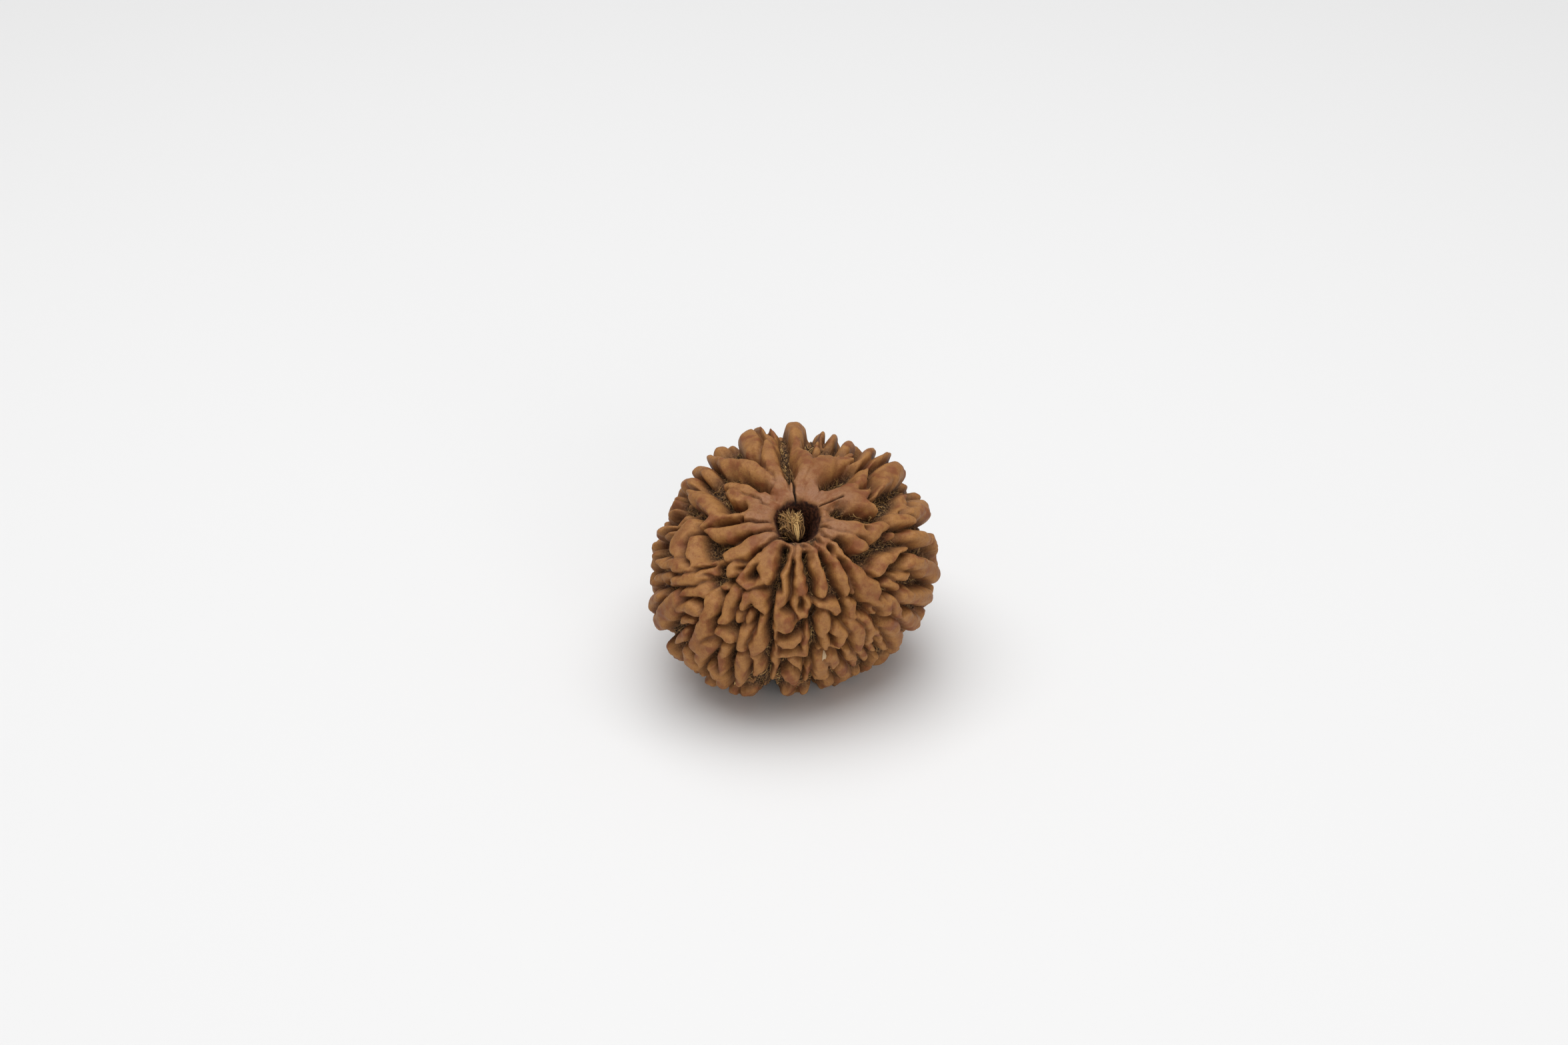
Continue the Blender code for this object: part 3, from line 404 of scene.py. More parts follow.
# Bundles of the tuft in the mouth: how many strands, (across, along, reach) of their roots and tips,
# how far those are spread, how far the strands bow, their radii, and their tones from dark to pale
TUFT_SEED = 22
TUFT_FLATNESS = (1.0, 2.2)
TUFT_BUNDLES = (
    (300, (-0.3, 0, 5.7), (-0.6, 0.2, 8.4), (0.9, 1.1, 0.5), (1.3, 1.7, 0.6),
     0.35, (0.04, 0.1), (0, 0.4)),
    (100, (0, -1.2, 7.8), (-0.5, 0.9, 9), (0.35, 0.4, 0.4), (1, 0.9, 0.5),
     0.45, (0.03, 0.07), (0.2, 0.9)),
    (100, (-0.3, -0.3, 8.3), (-1.5, 0.2, 9), (0.5, 0.9, 0.3), (0.5, 1.4, 0.5),
     0.5, (0.03, 0.08), (0, 0.75)),
    (26, (0.2, -1.6, 8.4), (-0.1, 0.2, 9.3), (0.1, 0.2, 0.2), (0.2, 0.4, 0.15),
     0.15, (0.04, 0.08), (0.8, 1)),
    (34, (0, 0, 8.9), (-0.2, 0.7, 9.3), (0.3, 0.4, 0.1), (0.9, 0.6, 0.2),
     0.3, (0.03, 0.07), (0.7, 1)),
)

# The photograph's frame, and the camera that gives it
FRAME_WIDTH = 2352
FRAME_HEIGHT = 1568
LENS_MM = 70.0
SENSOR_MM = 36.0
VIEW_ELEVATION_DEG = 32.0
PIXELS_PER_MM = 14.33
SEED_PIXEL = (1190.5, 843.2)

# Light and floor, in metres
FLOOR_SIZE = 1.6
FLOOR_COLOUR = (0.82, 0.82, 0.82, 1.0)
FLOOR_ROUGHNESS = 0.9
SURROUND_COLOUR = (1.0, 1.0, 1.0, 1.0)
SURROUND_STRENGTH = 0.307

# Softboxes: name, place and size in metres, and watts
SOFTBOXES = (
    ("top_softbox", (-0.02, 0.02, 0.5), 0.58, 2.72),
    ("front_softbox", (0.2, -0.6, 0.11), 0.5, 1.7),
)


def seed_turn():
    """How the seed's own axis is turned in the world."""
    lean = Matrix.Rotation(math.radians(AXIS_LEAN_DEG), 3, "Y")
    tilt = Matrix.Rotation(math.radians(AXIS_TILT_DEG), 3, "X")
    return lean @ tilt


def directions(longitude, colatitude):
    lon = np.radians(longitude)
    col = np.radians(colatitude)
    return np.stack([np.sin(col) * np.cos(lon), np.sin(col) * np.sin(lon), np.cos(col)], -1)


def fade(value, start, end):
    """0 at start, 1 at end, smooth between; start may be the greater."""
    share = np.clip((value - start) / (end - start), 0.0, 1.0)
    return share * share * (3.0 - 2.0 * share)


def off_line(way, radius, spot):
    """Distance from the line out of the centre through a spot; far off on the other side."""
    along = way @ directions(*spot)
    return np.where(along > 0, radius * np.sqrt(np.clip(1.0 - along * along, 0.0, 1.0)), CLEAR)


def bare_radius(way):
    """Radius of the body without furrows, for unit directions."""
    x, y, z = way[..., 0], way[..., 1], way[..., 2]
    across = np.hypot(x, y)
    lon = np.arctan2(y, x)
    girth = np.full(across.shape, 1.0)
    for count, cosine, sine in GIRTH_WAVES:
        girth = girth + cosine * np.cos(count * lon) + sine * np.sin(count * lon)
    top = TOP_REACH * (1.0 + TOP_SLANT[0] * x + TOP_SLANT[1] * y)
    low = LOW_REACH * (1.0 + LOW_SLANT[0] * x + LOW_SLANT[1] * y)
    reach = np.where(z > 0, top, low)
    curve = (across / (GIRTH * girth)) ** ROUNDNESS + (np.abs(z) / reach) ** ROUNDNESS
    radius = curve ** (-1 / ROUNDNESS)
    rises = [rise * np.exp(-(off_line(way, radius, spot) / size) ** 2) for spot, rise, size in SWELLINGS]
    return radius + sum(rises)


def on_body(longitude, colatitude):
    way = directions(longitude, colatitude)
    return way * bare_radius(way)[..., None]


def ripple(points, wavelength, seed):
    """Smooth unevenness between about -1 and 1: a sum of seeded plane waves."""
    rng = np.random.default_rng(seed)
    heading = rng.normal(size=(RIPPLE_WAVES, 3))
    heading /= np.linalg.norm(heading, axis=1, keepdims=True)
    length = wavelength * rng.uniform(*RIPPLE_SPREAD, RIPPLE_WAVES)
    phase = rng.uniform(0, 2 * math.pi, RIPPLE_WAVES)
    total = np.zeros(len(points))
    for way, step, start in zip(heading, length, phase):
        total += np.sin(points @ way * (2 * math.pi / step) + start)
    return total / math.sqrt(RIPPLE_WAVES)


def stroke_share(points, stroke):
    """The points near a stroke, and their distances as shares of the stroke's half width there."""
    table = np.array(stroke, float)
    spots = on_body(table[:, 0], table[:, 1])
    middle = spots.mean(0)
    reach = np.linalg.norm(spots - middle, axis=1).max() + STROKE_REACH * table[:, 2].max()
    near = np.nonzero(((points - middle) ** 2).sum(1) < reach * reach)[0]
    close = points[near]
    best = np.full(len(near), CLEAR)
    for index in range(len(spots) - 1):
        start, end = spots[index], spots[index + 1]
        run = end - start
        along = np.clip((close - start) @ run / (run @ run), 0.0, 1.0)
        gap = np.linalg.norm(close - start - along[:, None] * run, axis=1)
        if index == len(spots) - 2:
            along = along ** RIB_BLUNTNESS
        elif index == 0:
            along = 1.0 - (1.0 - along) ** RIB_BLUNTNESS
        width = table[index, 2] + along * (table[index + 1, 2] - table[index, 2])
        best = np.minimum(best, gap / width)
    return near, best


def crown(share):
    """Cross section of a rib: broad and round on top, steep at its foot."""
    return np.clip(1.0 - (share / RIB_FOOT) ** RIB_BREADTH, 0.0, 1.0) ** RIB_ROUNDING


def trough(share):
    """Cross section of a slot, with softly rounded lips."""
    return 1.0 / (1.0 + share ** SLOT_SHARPNESS)


def reach_mouth(stroke):
    """Carry a rib on inward from its first point to the rim of the mouth."""
    mouth = directions(*MOUTH_AT)
    start = directions(*stroke[0][:2])
    side = start - mouth * (start @ mouth)
    side /= np.linalg.norm(side)
    turn = math.radians(MOUTH_RIM_DEG)
    rim = mouth * math.cos(turn) + side * math.sin(turn)
    lon = math.degrees(math.atan2(rim[1], rim[0]))
    return ((lon, math.degrees(math.acos(rim[2])), RIM_NARROWING * stroke[0][2]),) + stroke


def knob_chain(rng, lon):
    """A meandering line of knobs along one meridian of the hidden side."""
    strokes = []
    col = HIDDEN_ROWS[0] + rng.uniform(-CHAIN_START, CHAIN_START)
    while col < HIDDEN_ROWS[1]:
        run = rng.uniform(*KNOB_RUN)
        width = rng.uniform(*KNOB_WIDTH)
        place = lon + rng.uniform(-KNOB_SWAY, KNOB_SWAY)
        bend = rng.uniform(-KNOB_BEND, KNOB_BEND)
        strokes.append((
            (place, col, width * rng.uniform(*KNOB_END_SHARES)),
            (place + bend, col + run * 0.5, width),
            (place, col + run, width * rng.uniform(*KNOB_END_SHARES)),
        ))
        col += run + rng.uniform(*KNOB_GAP)
    return strokes


def is_free(stroke, taken):
    """True where a stroke's points keep clear of the strokes set before it."""
    spots = on_body(*np.array(stroke, float)[:, :2].T)
    gaps = [stroke_share(spots, other)[1] for other in taken]
    return np.concatenate(gaps).min(initial=CLEAR) > 1.0 + CLEARANCE_SHARE


def segment_edges():
    step = 360.0 / SEGMENTS
    return [FIRST_FURROW_LON + index * step for index in range(SEGMENTS)]


def hidden_furrows():
    """The long furrows between segments, on the back and under the front."""
    rng = random.Random(FURROW_SEED)
    found = []
    for lon in segment_edges():
        at_front = math.sin(math.radians(lon)) < 0.0
        start = FRONT_FURROW_START if at_front else BACK_FURROW_START
        line = []
        for col in np.linspace(start, LOW_ROWS[1], LONG_FURROW_POINTS):
            line.append((lon + rng.uniform(-LONG_FURROW_SWAY, LONG_FURROW_SWAY), col, LONG_FURROW_WIDTH))
        found.append((LONG_FURROW, tuple(line)))
    return found


def hidden_knobs(taken):
    """Knobs by a seeded rule, wherever the listed ribs leave bare ground."""
    rng = random.Random(HIDDEN_SEED)
    step = 360.0 / SEGMENTS
    chains = []
    for edge in segment_edges():
        for place in range(CHAINS_PER_SEGMENT):
            lon = edge + step * (place + 0.5) / CHAINS_PER_SEGMENT
            chains += knob_chain(rng, lon + rng.uniform(-CHAIN_STRAY, CHAIN_STRAY))
        lons = [edge + step * 0.5 + rng.uniform(-LOW_RIB_SWAY, LOW_RIB_SWAY) for _ in LOW_ROWS]
        chains.append(tuple(zip(lons, LOW_ROWS, LOW_RIB_WIDTHS)))
    return [stroke for stroke in chains if is_free(stroke, taken)]


def rib_crest(points, ribs):
    """Height of the ribs as a share of the furrow's depth, and the seam where two ribs meet."""
    merged = np.full(len(points), OPEN_GROUND ** RIB_MERGING)
    first = np.full(len(points), CLEAR)
    second = np.full(len(points), CLEAR)
    for stroke in ribs:
        near, share = stroke_share(points, stroke)
        width = max(point[2] for point in stroke)
        height = (LOW_RISE + BROAD_RISE * fade(width, *RISE_WIDTHS)) * crown(share)
        merged[near] += height ** RIB_MERGING
        second[near] = np.minimum(second[near], np.maximum(first[near], share))
        first[near] = np.minimum(first[near], share)
    crest = merged ** (1 / RIB_MERGING)
    seam = np.exp(-((second - first) / SEAM_REACH) ** 2) * fade(first, *SEAM_FADE)
    return crest, seam * np.minimum(crest, 1.0)


def furrow_depth(points, ribs):
    """Depth below the bare body: the open furrow less the ribs, or a slot where that is deeper."""
    way = points / np.linalg.norm(points, axis=1, keepdims=True)
    ground = open_ground(way)
    shifted = points.copy()
    for sway, length in SWAYS:
        shifted += sway * np.stack([ripple(points, length, seed) for seed in SWAY_SEEDS], -1)
    crest, seam = rib_crest(shifted, ribs)
    depth = ground * (1.0 - crest) + SEAM_DEPTH * seam * fade(ground, 0.0, 1.0)
    bumps = GROUND_BUMPS * ripple(points, GROUND_BUMP_LENGTH, BUMP_SEED)
    depth += bumps * fade(crest, *GROUND_BUMP_FADE)
    for height, length in CREST_WAVES:
        depth += height * ripple(points, length, CREST_SEED)
    for reach, stroke in SLOTS + tuple(hidden_furrows()):
        near, share = stroke_share(shifted, stroke)
        depth[near] += np.maximum((reach - depth[near]) * trough(share), 0.0)
    return depth


def pit_depth(points, spot, radii, depth):
    """An oval pit with an uneven rim, narrowing inward: its radii are across and along its meridian."""
    line = directions(*spot)
    across = np.cross((0.0, 0.0, 1.0), line)
    across /= np.linalg.norm(across)
    along = np.cross(line, across)
    share = np.hypot(points @ across / radii[0], points @ along / radii[1])
    share /= 1.0 + PIT_UNEVEN * ripple(points, PIT_UNEVEN_LENGTH, PIT_SEED)
    return np.where(points @ line > 0.0, depth / (1.0 + share ** PIT_STEEPNESS), 0.0)


def table_radius(way):
    """Radius at which unit directions meet the table; far off where they don't."""
    down = -(way @ np.array(seed_turn())[2])
    return np.where(down > LEAST_DOWN, CENTRE_HEIGHT / np.maximum(down, LEAST_DOWN), CLEAR)


def stone_radius(way, ribs):
    """Final radius for unit directions, cut level where the seed meets the table."""
    bare = bare_radius(way)
    points = way * bare[:, None]
    mouth = pit_depth(points, MOUTH_AT, MOUTH_RADII, MOUTH_DEPTH)
    low_pit = pit_depth(points, LOW_PIT_AT, LOW_PIT_RADII, LOW_PIT_DEPTH)
    return np.minimum(bare - furrow_depth(points, ribs) - mouth - low_pit, table_radius(way))


def open_ground(way):
    """Depth in mm that the open furrows have at unit directions."""
    col = np.degrees(np.arccos(np.clip(way[:, 2], -1, 1)))
    ground = FURROW_DEPTH * fade(col, *COLLAR_EDGE) * fade(col, *LOW_COLLAR_EDGE)
    return ground * (1.0 - LOW_SHALLOWING * fade(col, *LOW_SHALLOWING_EDGE))


def crease_strokes():
    """Shallow creases that run out from the mouth over the collar."""
    rng = random.Random(CREASE_SEED)
    strokes = []
    for index in range(CREASES):
        lon = 360.0 * index / CREASES + rng.uniform(-CREASE_STRAY, CREASE_STRAY)
        start = rng.uniform(*CREASE_START)
        end = rng.uniform(*CREASE_END)
        width = CREASE_WIDTH * rng.uniform(*CREASE_WIDTH_SHARES)
        bend = rng.uniform(-CREASE_STRAY, CREASE_STRAY) / 2
        middle = (lon + bend, (start + end) / 2, width)
        strokes.append(((lon, start, width), middle, (lon, end, width / 2)))
    return strokes


def fine_relief(points, depth, ground):
    """What the finish adds to the depth in mm: skin, creases, torn fibre and the mouth's lining."""
    added = np.zeros(len(points))
    for height, length, seed in SKIN_RELIEF:
        added += height * ripple(points, length, seed)
    for stroke in crease_strokes():
        near, share = stroke_share(points, stroke)
        added[near] += CREASE_DEPTH * trough(share)
    bark = furrow_share(points, depth, ground)
    for height, length, seed in BARK_RELIEF:
        added += height * bark * ripple(points, length, seed)
    lining = lining_share(points)
    for height, length, seed in LINING_RELIEF:
        added += height * lining * ripple(points, length, seed)
    return added


def lining_share(points):
    """1 in the mouth, 0 outside it."""
    return fade(pit_depth(points, MOUTH_AT, MOUTH_RADII, 1.0), *LINING_SHARES)


def furrow_share(points, depth, ground):
    """1 on the floor of a furrow or slot, 0 on the ribs and in the mouth."""
    floor = fade(depth / np.maximum(ground, LEAST_GROUND), *FLOOR_SHARES)
    return floor * (1.0 - lining_share(points))


def all_ribs():
    """Every rib and knob, those listed in the tables first."""
    ribs = [reach_mouth(stroke) for stroke in COLLAR_RIBS] + list(FRONT_KNOBS + RIM_KNOBS)
    return ribs + hidden_knobs(ribs)


class Wire:
    """A socket whose value is worked with as a number in Python expressions."""

    def __init__(self, finish, socket):
        self.finish = finish
        self.socket = socket

    def __add__(self, other):
        return self.finish.math("ADD", self, other)

    def __radd__(self, other):
        return self.finish.math("ADD", other, self)

    def __rsub__(self, other):
        return self.finish.math("SUBTRACT", other, self)

    def __mul__(self, other):
        return self.finish.math("MULTIPLY", self, other)

    def __rmul__(self, other):
        return self.finish.math("MULTIPLY", other, self)


class Finish:
    """A material, with one method that adds any node to it."""

    def __init__(self, name):
        self.material = bpy.data.materials.new(name)
        self.material.use_nodes = True
        self.tree = self.material.node_tree
        self.shader = self.tree.nodes["Principled BSDF"]

    def node(self, kind, settings, sockets, out=0):
        """Add a node: its settings first, then the values or links of its sockets."""
        made = self.tree.nodes.new("ShaderNode" + kind)
        for name, value in settings.items():
            setattr(made, name, value)
        for name, value in sockets.items():
            if isinstance(value, Wire):
                self.tree.links.new(value.socket, made.inputs[name])
            else:
                made.inputs[name].default_value = value
        return Wire(self, made.outputs[out])

    def math(self, operation, *terms):
        return self.node("Math", {"operation": operation}, dict(enumerate(terms)))

    def measure(self, name):
        """A value that the mesh carries at its points."""
        return self.node("Attribute", {"attribute_name": name}, {}, "Fac")

    def mask(self, value, start, end, most=1.0):
        """0 at start, most at end, smooth between; start may be the greater."""
        sockets = {"Value": value, "From Min": start, "From Max": end, "To Max": most}
        return self.node("MapRange", {"interpolation_type": "SMOOTHSTEP"}, sockets)

    def patches(self, size, detail):
        """An uneven pattern from 0 to 1 with patches about size mm across."""
        where = self.node("TexCoord", {}, {}, "Object")
        return self.node("TexNoise", {}, {"Vector": where, "Scale": 1.0 / (size * MM), "Detail": detail})

    def mix(self, share, below, above):
        """The first colour where share is 0, and the second where it is 1."""
        return self.node("Mix", {"data_type": "RGBA"}, {0: share, 6: below, 7: above}, 2)

    def bump(self, height, distance, strength):
        """A relief of the given depth in mm."""
        return self.node("Bump", {}, {"Height": height, "Distance": distance * MM, "Strength": strength})

    def wear(self, colour, roughness, relief):
        """Feed what varies over the surface to the shader."""
        self.tree.links.new(colour.socket, self.shader.inputs["Base Color"])
        self.tree.links.new(roughness.socket, self.shader.inputs["Roughness"])
        self.tree.links.new(relief.socket, self.shader.inputs["Normal"])
        return self.material


SHELL_BROWN = (0.258, 0.105, 0.034, 1.0)
# Ochre of the broad patches, and of the crests, where it is partly worn colour and partly painted
# highlight
OCHRE_TONE_AND_HIGHLIGHT = (0.375, 0.175, 0.052, 1.0)
SHELL_RED = (0.225, 0.072, 0.024, 1.0)
COLLAR_GREY = (0.31, 0.15, 0.082, 1.0)
# Dark brown of the speckles, and of the painted shade, with some grime, in the hollows
SPECKLE_AND_SHADE_BROWN = (0.11, 0.044, 0.018, 1.0)
FURROW_BROWN = (0.03, 0.015, 0.008, 1.0)
FIBROUS_BROWN = (0.2, 0.11, 0.048, 1.0)
# Mouth lining: near black painted shade, and a dark red that is partly the lining's own colour
MOUTH_PAINTED_SHADE = (0.03, 0.011, 0.007, 1.0)
MOUTH_RED = (0.1, 0.036, 0.018, 1.0)
CHIP_PALE = (0.62, 0.46, 0.28, 1.0)
CRACK_DARK = (0.012, 0.007, 0.005, 1.0)

# Patterns of the shell: size in mm and detail
BROAD_PATCHES = (5.0, 3.0)
MIDDLING_PATCHES = (1.6, 3.0)
GRAIN_PATCHES = (0.32, 4.0)
SPECKLE_PATCHES = (0.11, 2.0)
THREAD_PATCHES = (0.2, 3.0)

# How much of a colour a pattern lays on: none at the first value, all at the second, and how much
# that is where it isn't the whole
OCHRE_GROUND = (0.42, 0.62, 0.7)
RED_PATCHES = (0.5, 0.66, 0.85)
# The crests' ochre: partly worn colour, partly painted highlight
OCHRE_WEAR_AND_HIGHLIGHT = (0.7, 0.4, 0.9)
GREY_COLLAR = (0.75, 0.3, 0.85)
RED_GRAIN = (0.45, 0.7, 0.4)
DARK_SPECKLES = (0.5, 0.7, 0.3)
# How far painted shade, with some grime, darkens the hollows
HOLLOW_SHADE_SHARE = 0.9
FIBROUS_THREADS = (0.46, 0.6)
RED_LINING = (0.42, 0.62)
LINING_EDGE = (0.45, 1.1)
LINING_RAGGEDNESS = 0.8
CHIP_EDGE = (0.2, 0.5)

# Roughness of the bare shell, then what the furrows and the grain add; relief's share of the grain
# and of the speckles, its depth in mm and strength
SHELL_ROUGHNESS = (0.5, 0.3, 0.2)
SHELL_RELIEF_SHARES = (0.4, 0.2)
SHELL_BUMP = (0.16, 0.8)
SHELL_SPECULAR = 0.25


def shell_finish():
    """Hard woody shell: ochre crests that are partly worn colour and partly painted highlight, reddish
    patches, a greyish collar, dark fibrous furrows, painted shade with some grime in the hollows, and a
    mouth lining darkened with painted shade.
    """
    skin = Finish("woody_shell")
    furrow = skin.measure("furrow")
    broad = skin.patches(*BROAD_PATCHES)
    middling = skin.patches(*MIDDLING_PATCHES)
    grain = skin.patches(*GRAIN_PATCHES)
    speckle = skin.patches(*SPECKLE_PATCHES)
    thread = skin.patches(*THREAD_PATCHES)
    colour = skin.mix(skin.mask(broad, *OCHRE_GROUND), SHELL_BROWN, OCHRE_TONE_AND_HIGHLIGHT)
    colour = skin.mix(skin.mask(middling, *RED_PATCHES), colour, SHELL_RED)
    # Crests lighter: partly worn colour, partly painted highlight
    colour = skin.mix(skin.measure("edge") * skin.mask(middling, *OCHRE_WEAR_AND_HIGHLIGHT), colour, OCHRE_TONE_AND_HIGHLIGHT)
    colour = skin.mix(skin.measure("collar") * skin.mask(middling, *GREY_COLLAR), colour, COLLAR_GREY)
    colour = skin.mix(skin.mask(grain, *RED_GRAIN), colour, SHELL_RED)
    colour = skin.mix(skin.mask(speckle, *DARK_SPECKLES), colour, SPECKLE_AND_SHADE_BROWN)
    # Painted shade, with some grime: the hollows are darkened
    colour = skin.mix(skin.measure("hollow_shade") * HOLLOW_SHADE_SHARE, colour, SPECKLE_AND_SHADE_BROWN)
    bark = skin.mix(skin.mask(thread, *FIBROUS_THREADS), FURROW_BROWN, FIBROUS_BROWN)
    colour = skin.mix(furrow, colour, bark)
    # Mouth lining: a reddish lining darkened with painted shade
    lining = skin.mix(skin.mask(grain, *RED_LINING), MOUTH_PAINTED_SHADE, MOUTH_RED)
    ragged = skin.measure("mouth") + middling * LINING_RAGGEDNESS
    colour = skin.mix(skin.mask(ragged, *LINING_EDGE), colour, lining)
    colour = skin.mix(skin.measure("crack"), colour, CRACK_DARK)
    colour = skin.mix(skin.mask(skin.measure("chip"), *CHIP_EDGE), colour, CHIP_PALE)
    bare, in_furrow, in_grain = SHELL_ROUGHNESS
    roughness = bare + in_furrow * furrow + in_grain * grain
    fine = grain * SHELL_RELIEF_SHARES[0] + speckle * SHELL_RELIEF_SHARES[1]
    relief = skin.bump(furrow * thread + (1.0 - furrow) * fine, *SHELL_BUMP)
    skin.shader.inputs["Specular IOR Level"].default_value = SHELL_SPECULAR
    return skin.wear(colour, roughness, relief)


STRAW_DARK = (0.085, 0.043, 0.02, 1.0)
STRAW = (0.33, 0.175, 0.06, 1.0)
STRAW_PALE = (0.66, 0.43, 0.17, 1.0)

# Fibre, each value as for the shell: its tones, its streaks, then roughness and relief
STRAW_TONES = (0.0, 0.55)
PALE_TONES = (0.6, 1.0)
STREAK_PATCHES = (0.25, 3.0)
DARK_STREAKS = (0.5, 0.75, 0.5)
FIBRE_ROUGHNESS = (0.7, 0.2)
FIBRE_BUMP = (0.03, 0.5)
FIBRE_SPECULAR = 0.3


def fibre_finish():
    """Dry plant fibre: straw strands of many tones, with dark streaks."""
    straw = Finish("dry_straw_fibre")
    tone = straw.measure("tone")
    streaks = straw.patches(*STREAK_PATCHES)
    colour = straw.mix(straw.mask(tone, *STRAW_TONES), STRAW_DARK, STRAW)
    colour = straw.mix(straw.mask(tone, *PALE_TONES), colour, STRAW_PALE)
    colour = straw.mix(straw.mask(streaks, *DARK_STREAKS), colour, STRAW_DARK)
    roughness = FIBRE_ROUGHNESS[0] + FIBRE_ROUGHNESS[1] * streaks
    relief = straw.bump(streaks, *FIBRE_BUMP)
    straw.shader.inputs["Specular IOR Level"].default_value = FIBRE_SPECULAR
    return straw.wear(colour, roughness, relief)


def floor_finish():
    paper = Finish("pale_table")
    paper.shader.inputs["Base Color"].default_value = FLOOR_COLOUR
    paper.shader.inputs["Roughness"].default_value = FLOOR_ROUGHNESS
    return paper.material


def add_object(name, data):
    made = bpy.data.objects.new(name, data)
    bpy.context.scene.collection.objects.link(made)
    return made


def sphere_mesh(name, level):
    mesh = bpy.data.meshes.new(name)
    bm = bmesh.new()
    bmesh.ops.create_icosphere(bm, subdivisions=level, radius=1.0)
    bm.to_mesh(mesh)
    bm.free()
    return mesh


def mesh_points(mesh):
    flat = np.empty(len(mesh.vertices) * 3)
    mesh.vertices.foreach_get("co", flat)
    return flat.reshape(-1, 3)


def set_mesh_points(mesh, points):
    mesh.vertices.foreach_set("co", np.asarray(points, float).ravel())
    mesh.update()


def carry(mesh, name, values):
    """Store one number for each point of the mesh."""
    attribute = mesh.attributes.new(name, "FLOAT", "POINT")
    attribute.data.foreach_set("value", np.asarray(values, np.float32))


def neighbour_mean(mesh, values, rounds):
    """Values averaged over neighbouring points, as often as rounds says."""
    edges = np.empty(len(mesh.edges) * 2, np.int64)
    mesh.edges.foreach_get("vertices", edges)
    one, two = edges.reshape(-1, 2).T
    count = len(mesh.vertices)
    links = np.bincount(one, minlength=count) + np.bincount(two, minlength=count)
    for _ in range(rounds):
        columns = []
        for column in np.atleast_2d(values.T):
            total = np.bincount(one, column[two], count) + np.bincount(two, column[one], count)
            columns.append(0.5 * column + 0.5 * total / links)
        values = np.stack(columns, -1)
    return values


def thin_mesh(obj, triangles):
    """Decimate the object's mesh to about the given count, applied."""
    modifier = obj.modifiers.new("Fewer facets", "DECIMATE")
    modifier.ratio = triangles / len(obj.data.polygons)
    bpy.context.view_layer.update()
    dense = obj.data
    obj.data = bpy.data.meshes.new_from_object(obj.evaluated_get(bpy.context.evaluated_depsgraph_get()))
    obj.modifiers.clear()
    bpy.data.meshes.remove(dense)


class Seat:
    """Where the seed stands: turns its own frame into the scene's, and millimetres into metres."""

    def __init__(self, own_points):
        self.turn = np.array(seed_turn())
        turned = own_points @ self.turn.T
        low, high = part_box("stone")
        middle = (turned.min(0) + turned.max(0)) / 2 * MM
        self.centre = np.array(((low.x + high.x) / 2 - middle[0], (low.y + high.y) / 2 - middle[1],
                                low.z - turned[:, 2].min() * MM))

    def place(self, own_points):
        return own_points @ self.turn.T * MM + self.centre


def gather_round_mouth(way):
    """Draw the mesh's directions toward the axis, for a finer grain round the mouth."""
    col = np.degrees(np.arccos(np.clip(way[:, 2], -1, 1)))
    col *= 1.0 - GATHER * np.exp(-(col / GATHER_DEG) ** 2)
    return directions(np.degrees(np.arctan2(way[:, 1], way[:, 0])), col)


def fine_radius(way, ribs):
    """The stone's radius with its fine relief, never below the table, and the share of its cracks."""
    bare = bare_radius(way)
    points = way * bare[:, None]
    radius = stone_radius(way, ribs)
    radius -= fine_relief(points, bare - radius, open_ground(way))
    crack = np.zeros(len(way))
    for reach, stroke in FINE_CRACKS:
        near, share = stroke_share(points, stroke)
        cut = (reach - (bare[near] - radius[near])) * trough(share)
        radius[near] -= np.maximum(cut, 0.0)
        crack[near] = np.maximum(crack[near], trough(share / CRACK_STAIN))
    return np.minimum(radius, table_radius(way)), crack


def carry_surface(mesh, way, radius, crack):
    """Give the mesh the measures that its finish reads."""
    bare = bare_radius(way)
    points = way * bare[:, None]
    col = np.degrees(np.arccos(np.clip(way[:, 2], -1, 1)))
    low_pit = pit_depth(points, LOW_PIT_AT, LOW_PIT_RADII, 1.0)
    pits = pit_depth(points, MOUTH_AT, MOUTH_RADII, 1.0) + low_pit
    shape = way * radius[:, None]
    rise = ((shape - neighbour_mean(mesh, shape, HOLLOW_ROUNDS)) * way).sum(1)
    furrow = furrow_share(points, bare - radius, open_ground(way))
    measures = np.stack([furrow, fade(rise, *HOLLOW_SHADE_RISE), fade(rise, *CREST_WEAR_AND_HIGHLIGHT_RISE)], 1)
    furrow, hollow_shade, edge = neighbour_mean(mesh, measures, MEASURE_ROUNDS).T
    carry(mesh, "furrow", furrow)
    # The hollows' measure, where the finish paints shade with some grime
    carry(mesh, "hollow_shade", hollow_shade)
    # The crests' measure, where the finish lays worn colour and a painted highlight
    carry(mesh, "edge", edge)
    carry(mesh, "collar", fade(col, *COLLAR_TINT))
    # The mouth's measure, where the finish darkens its lining with painted shade
    carry(mesh, "mouth", fade(pits, *MOUTH_LINING_AND_SHADE_TINT))
    carry(mesh, "crack", crack)
    chip = np.zeros(len(way))
    near, share = stroke_share(points, CHIP)
    chip[near] = trough(share)
    carry(mesh, "chip", chip)


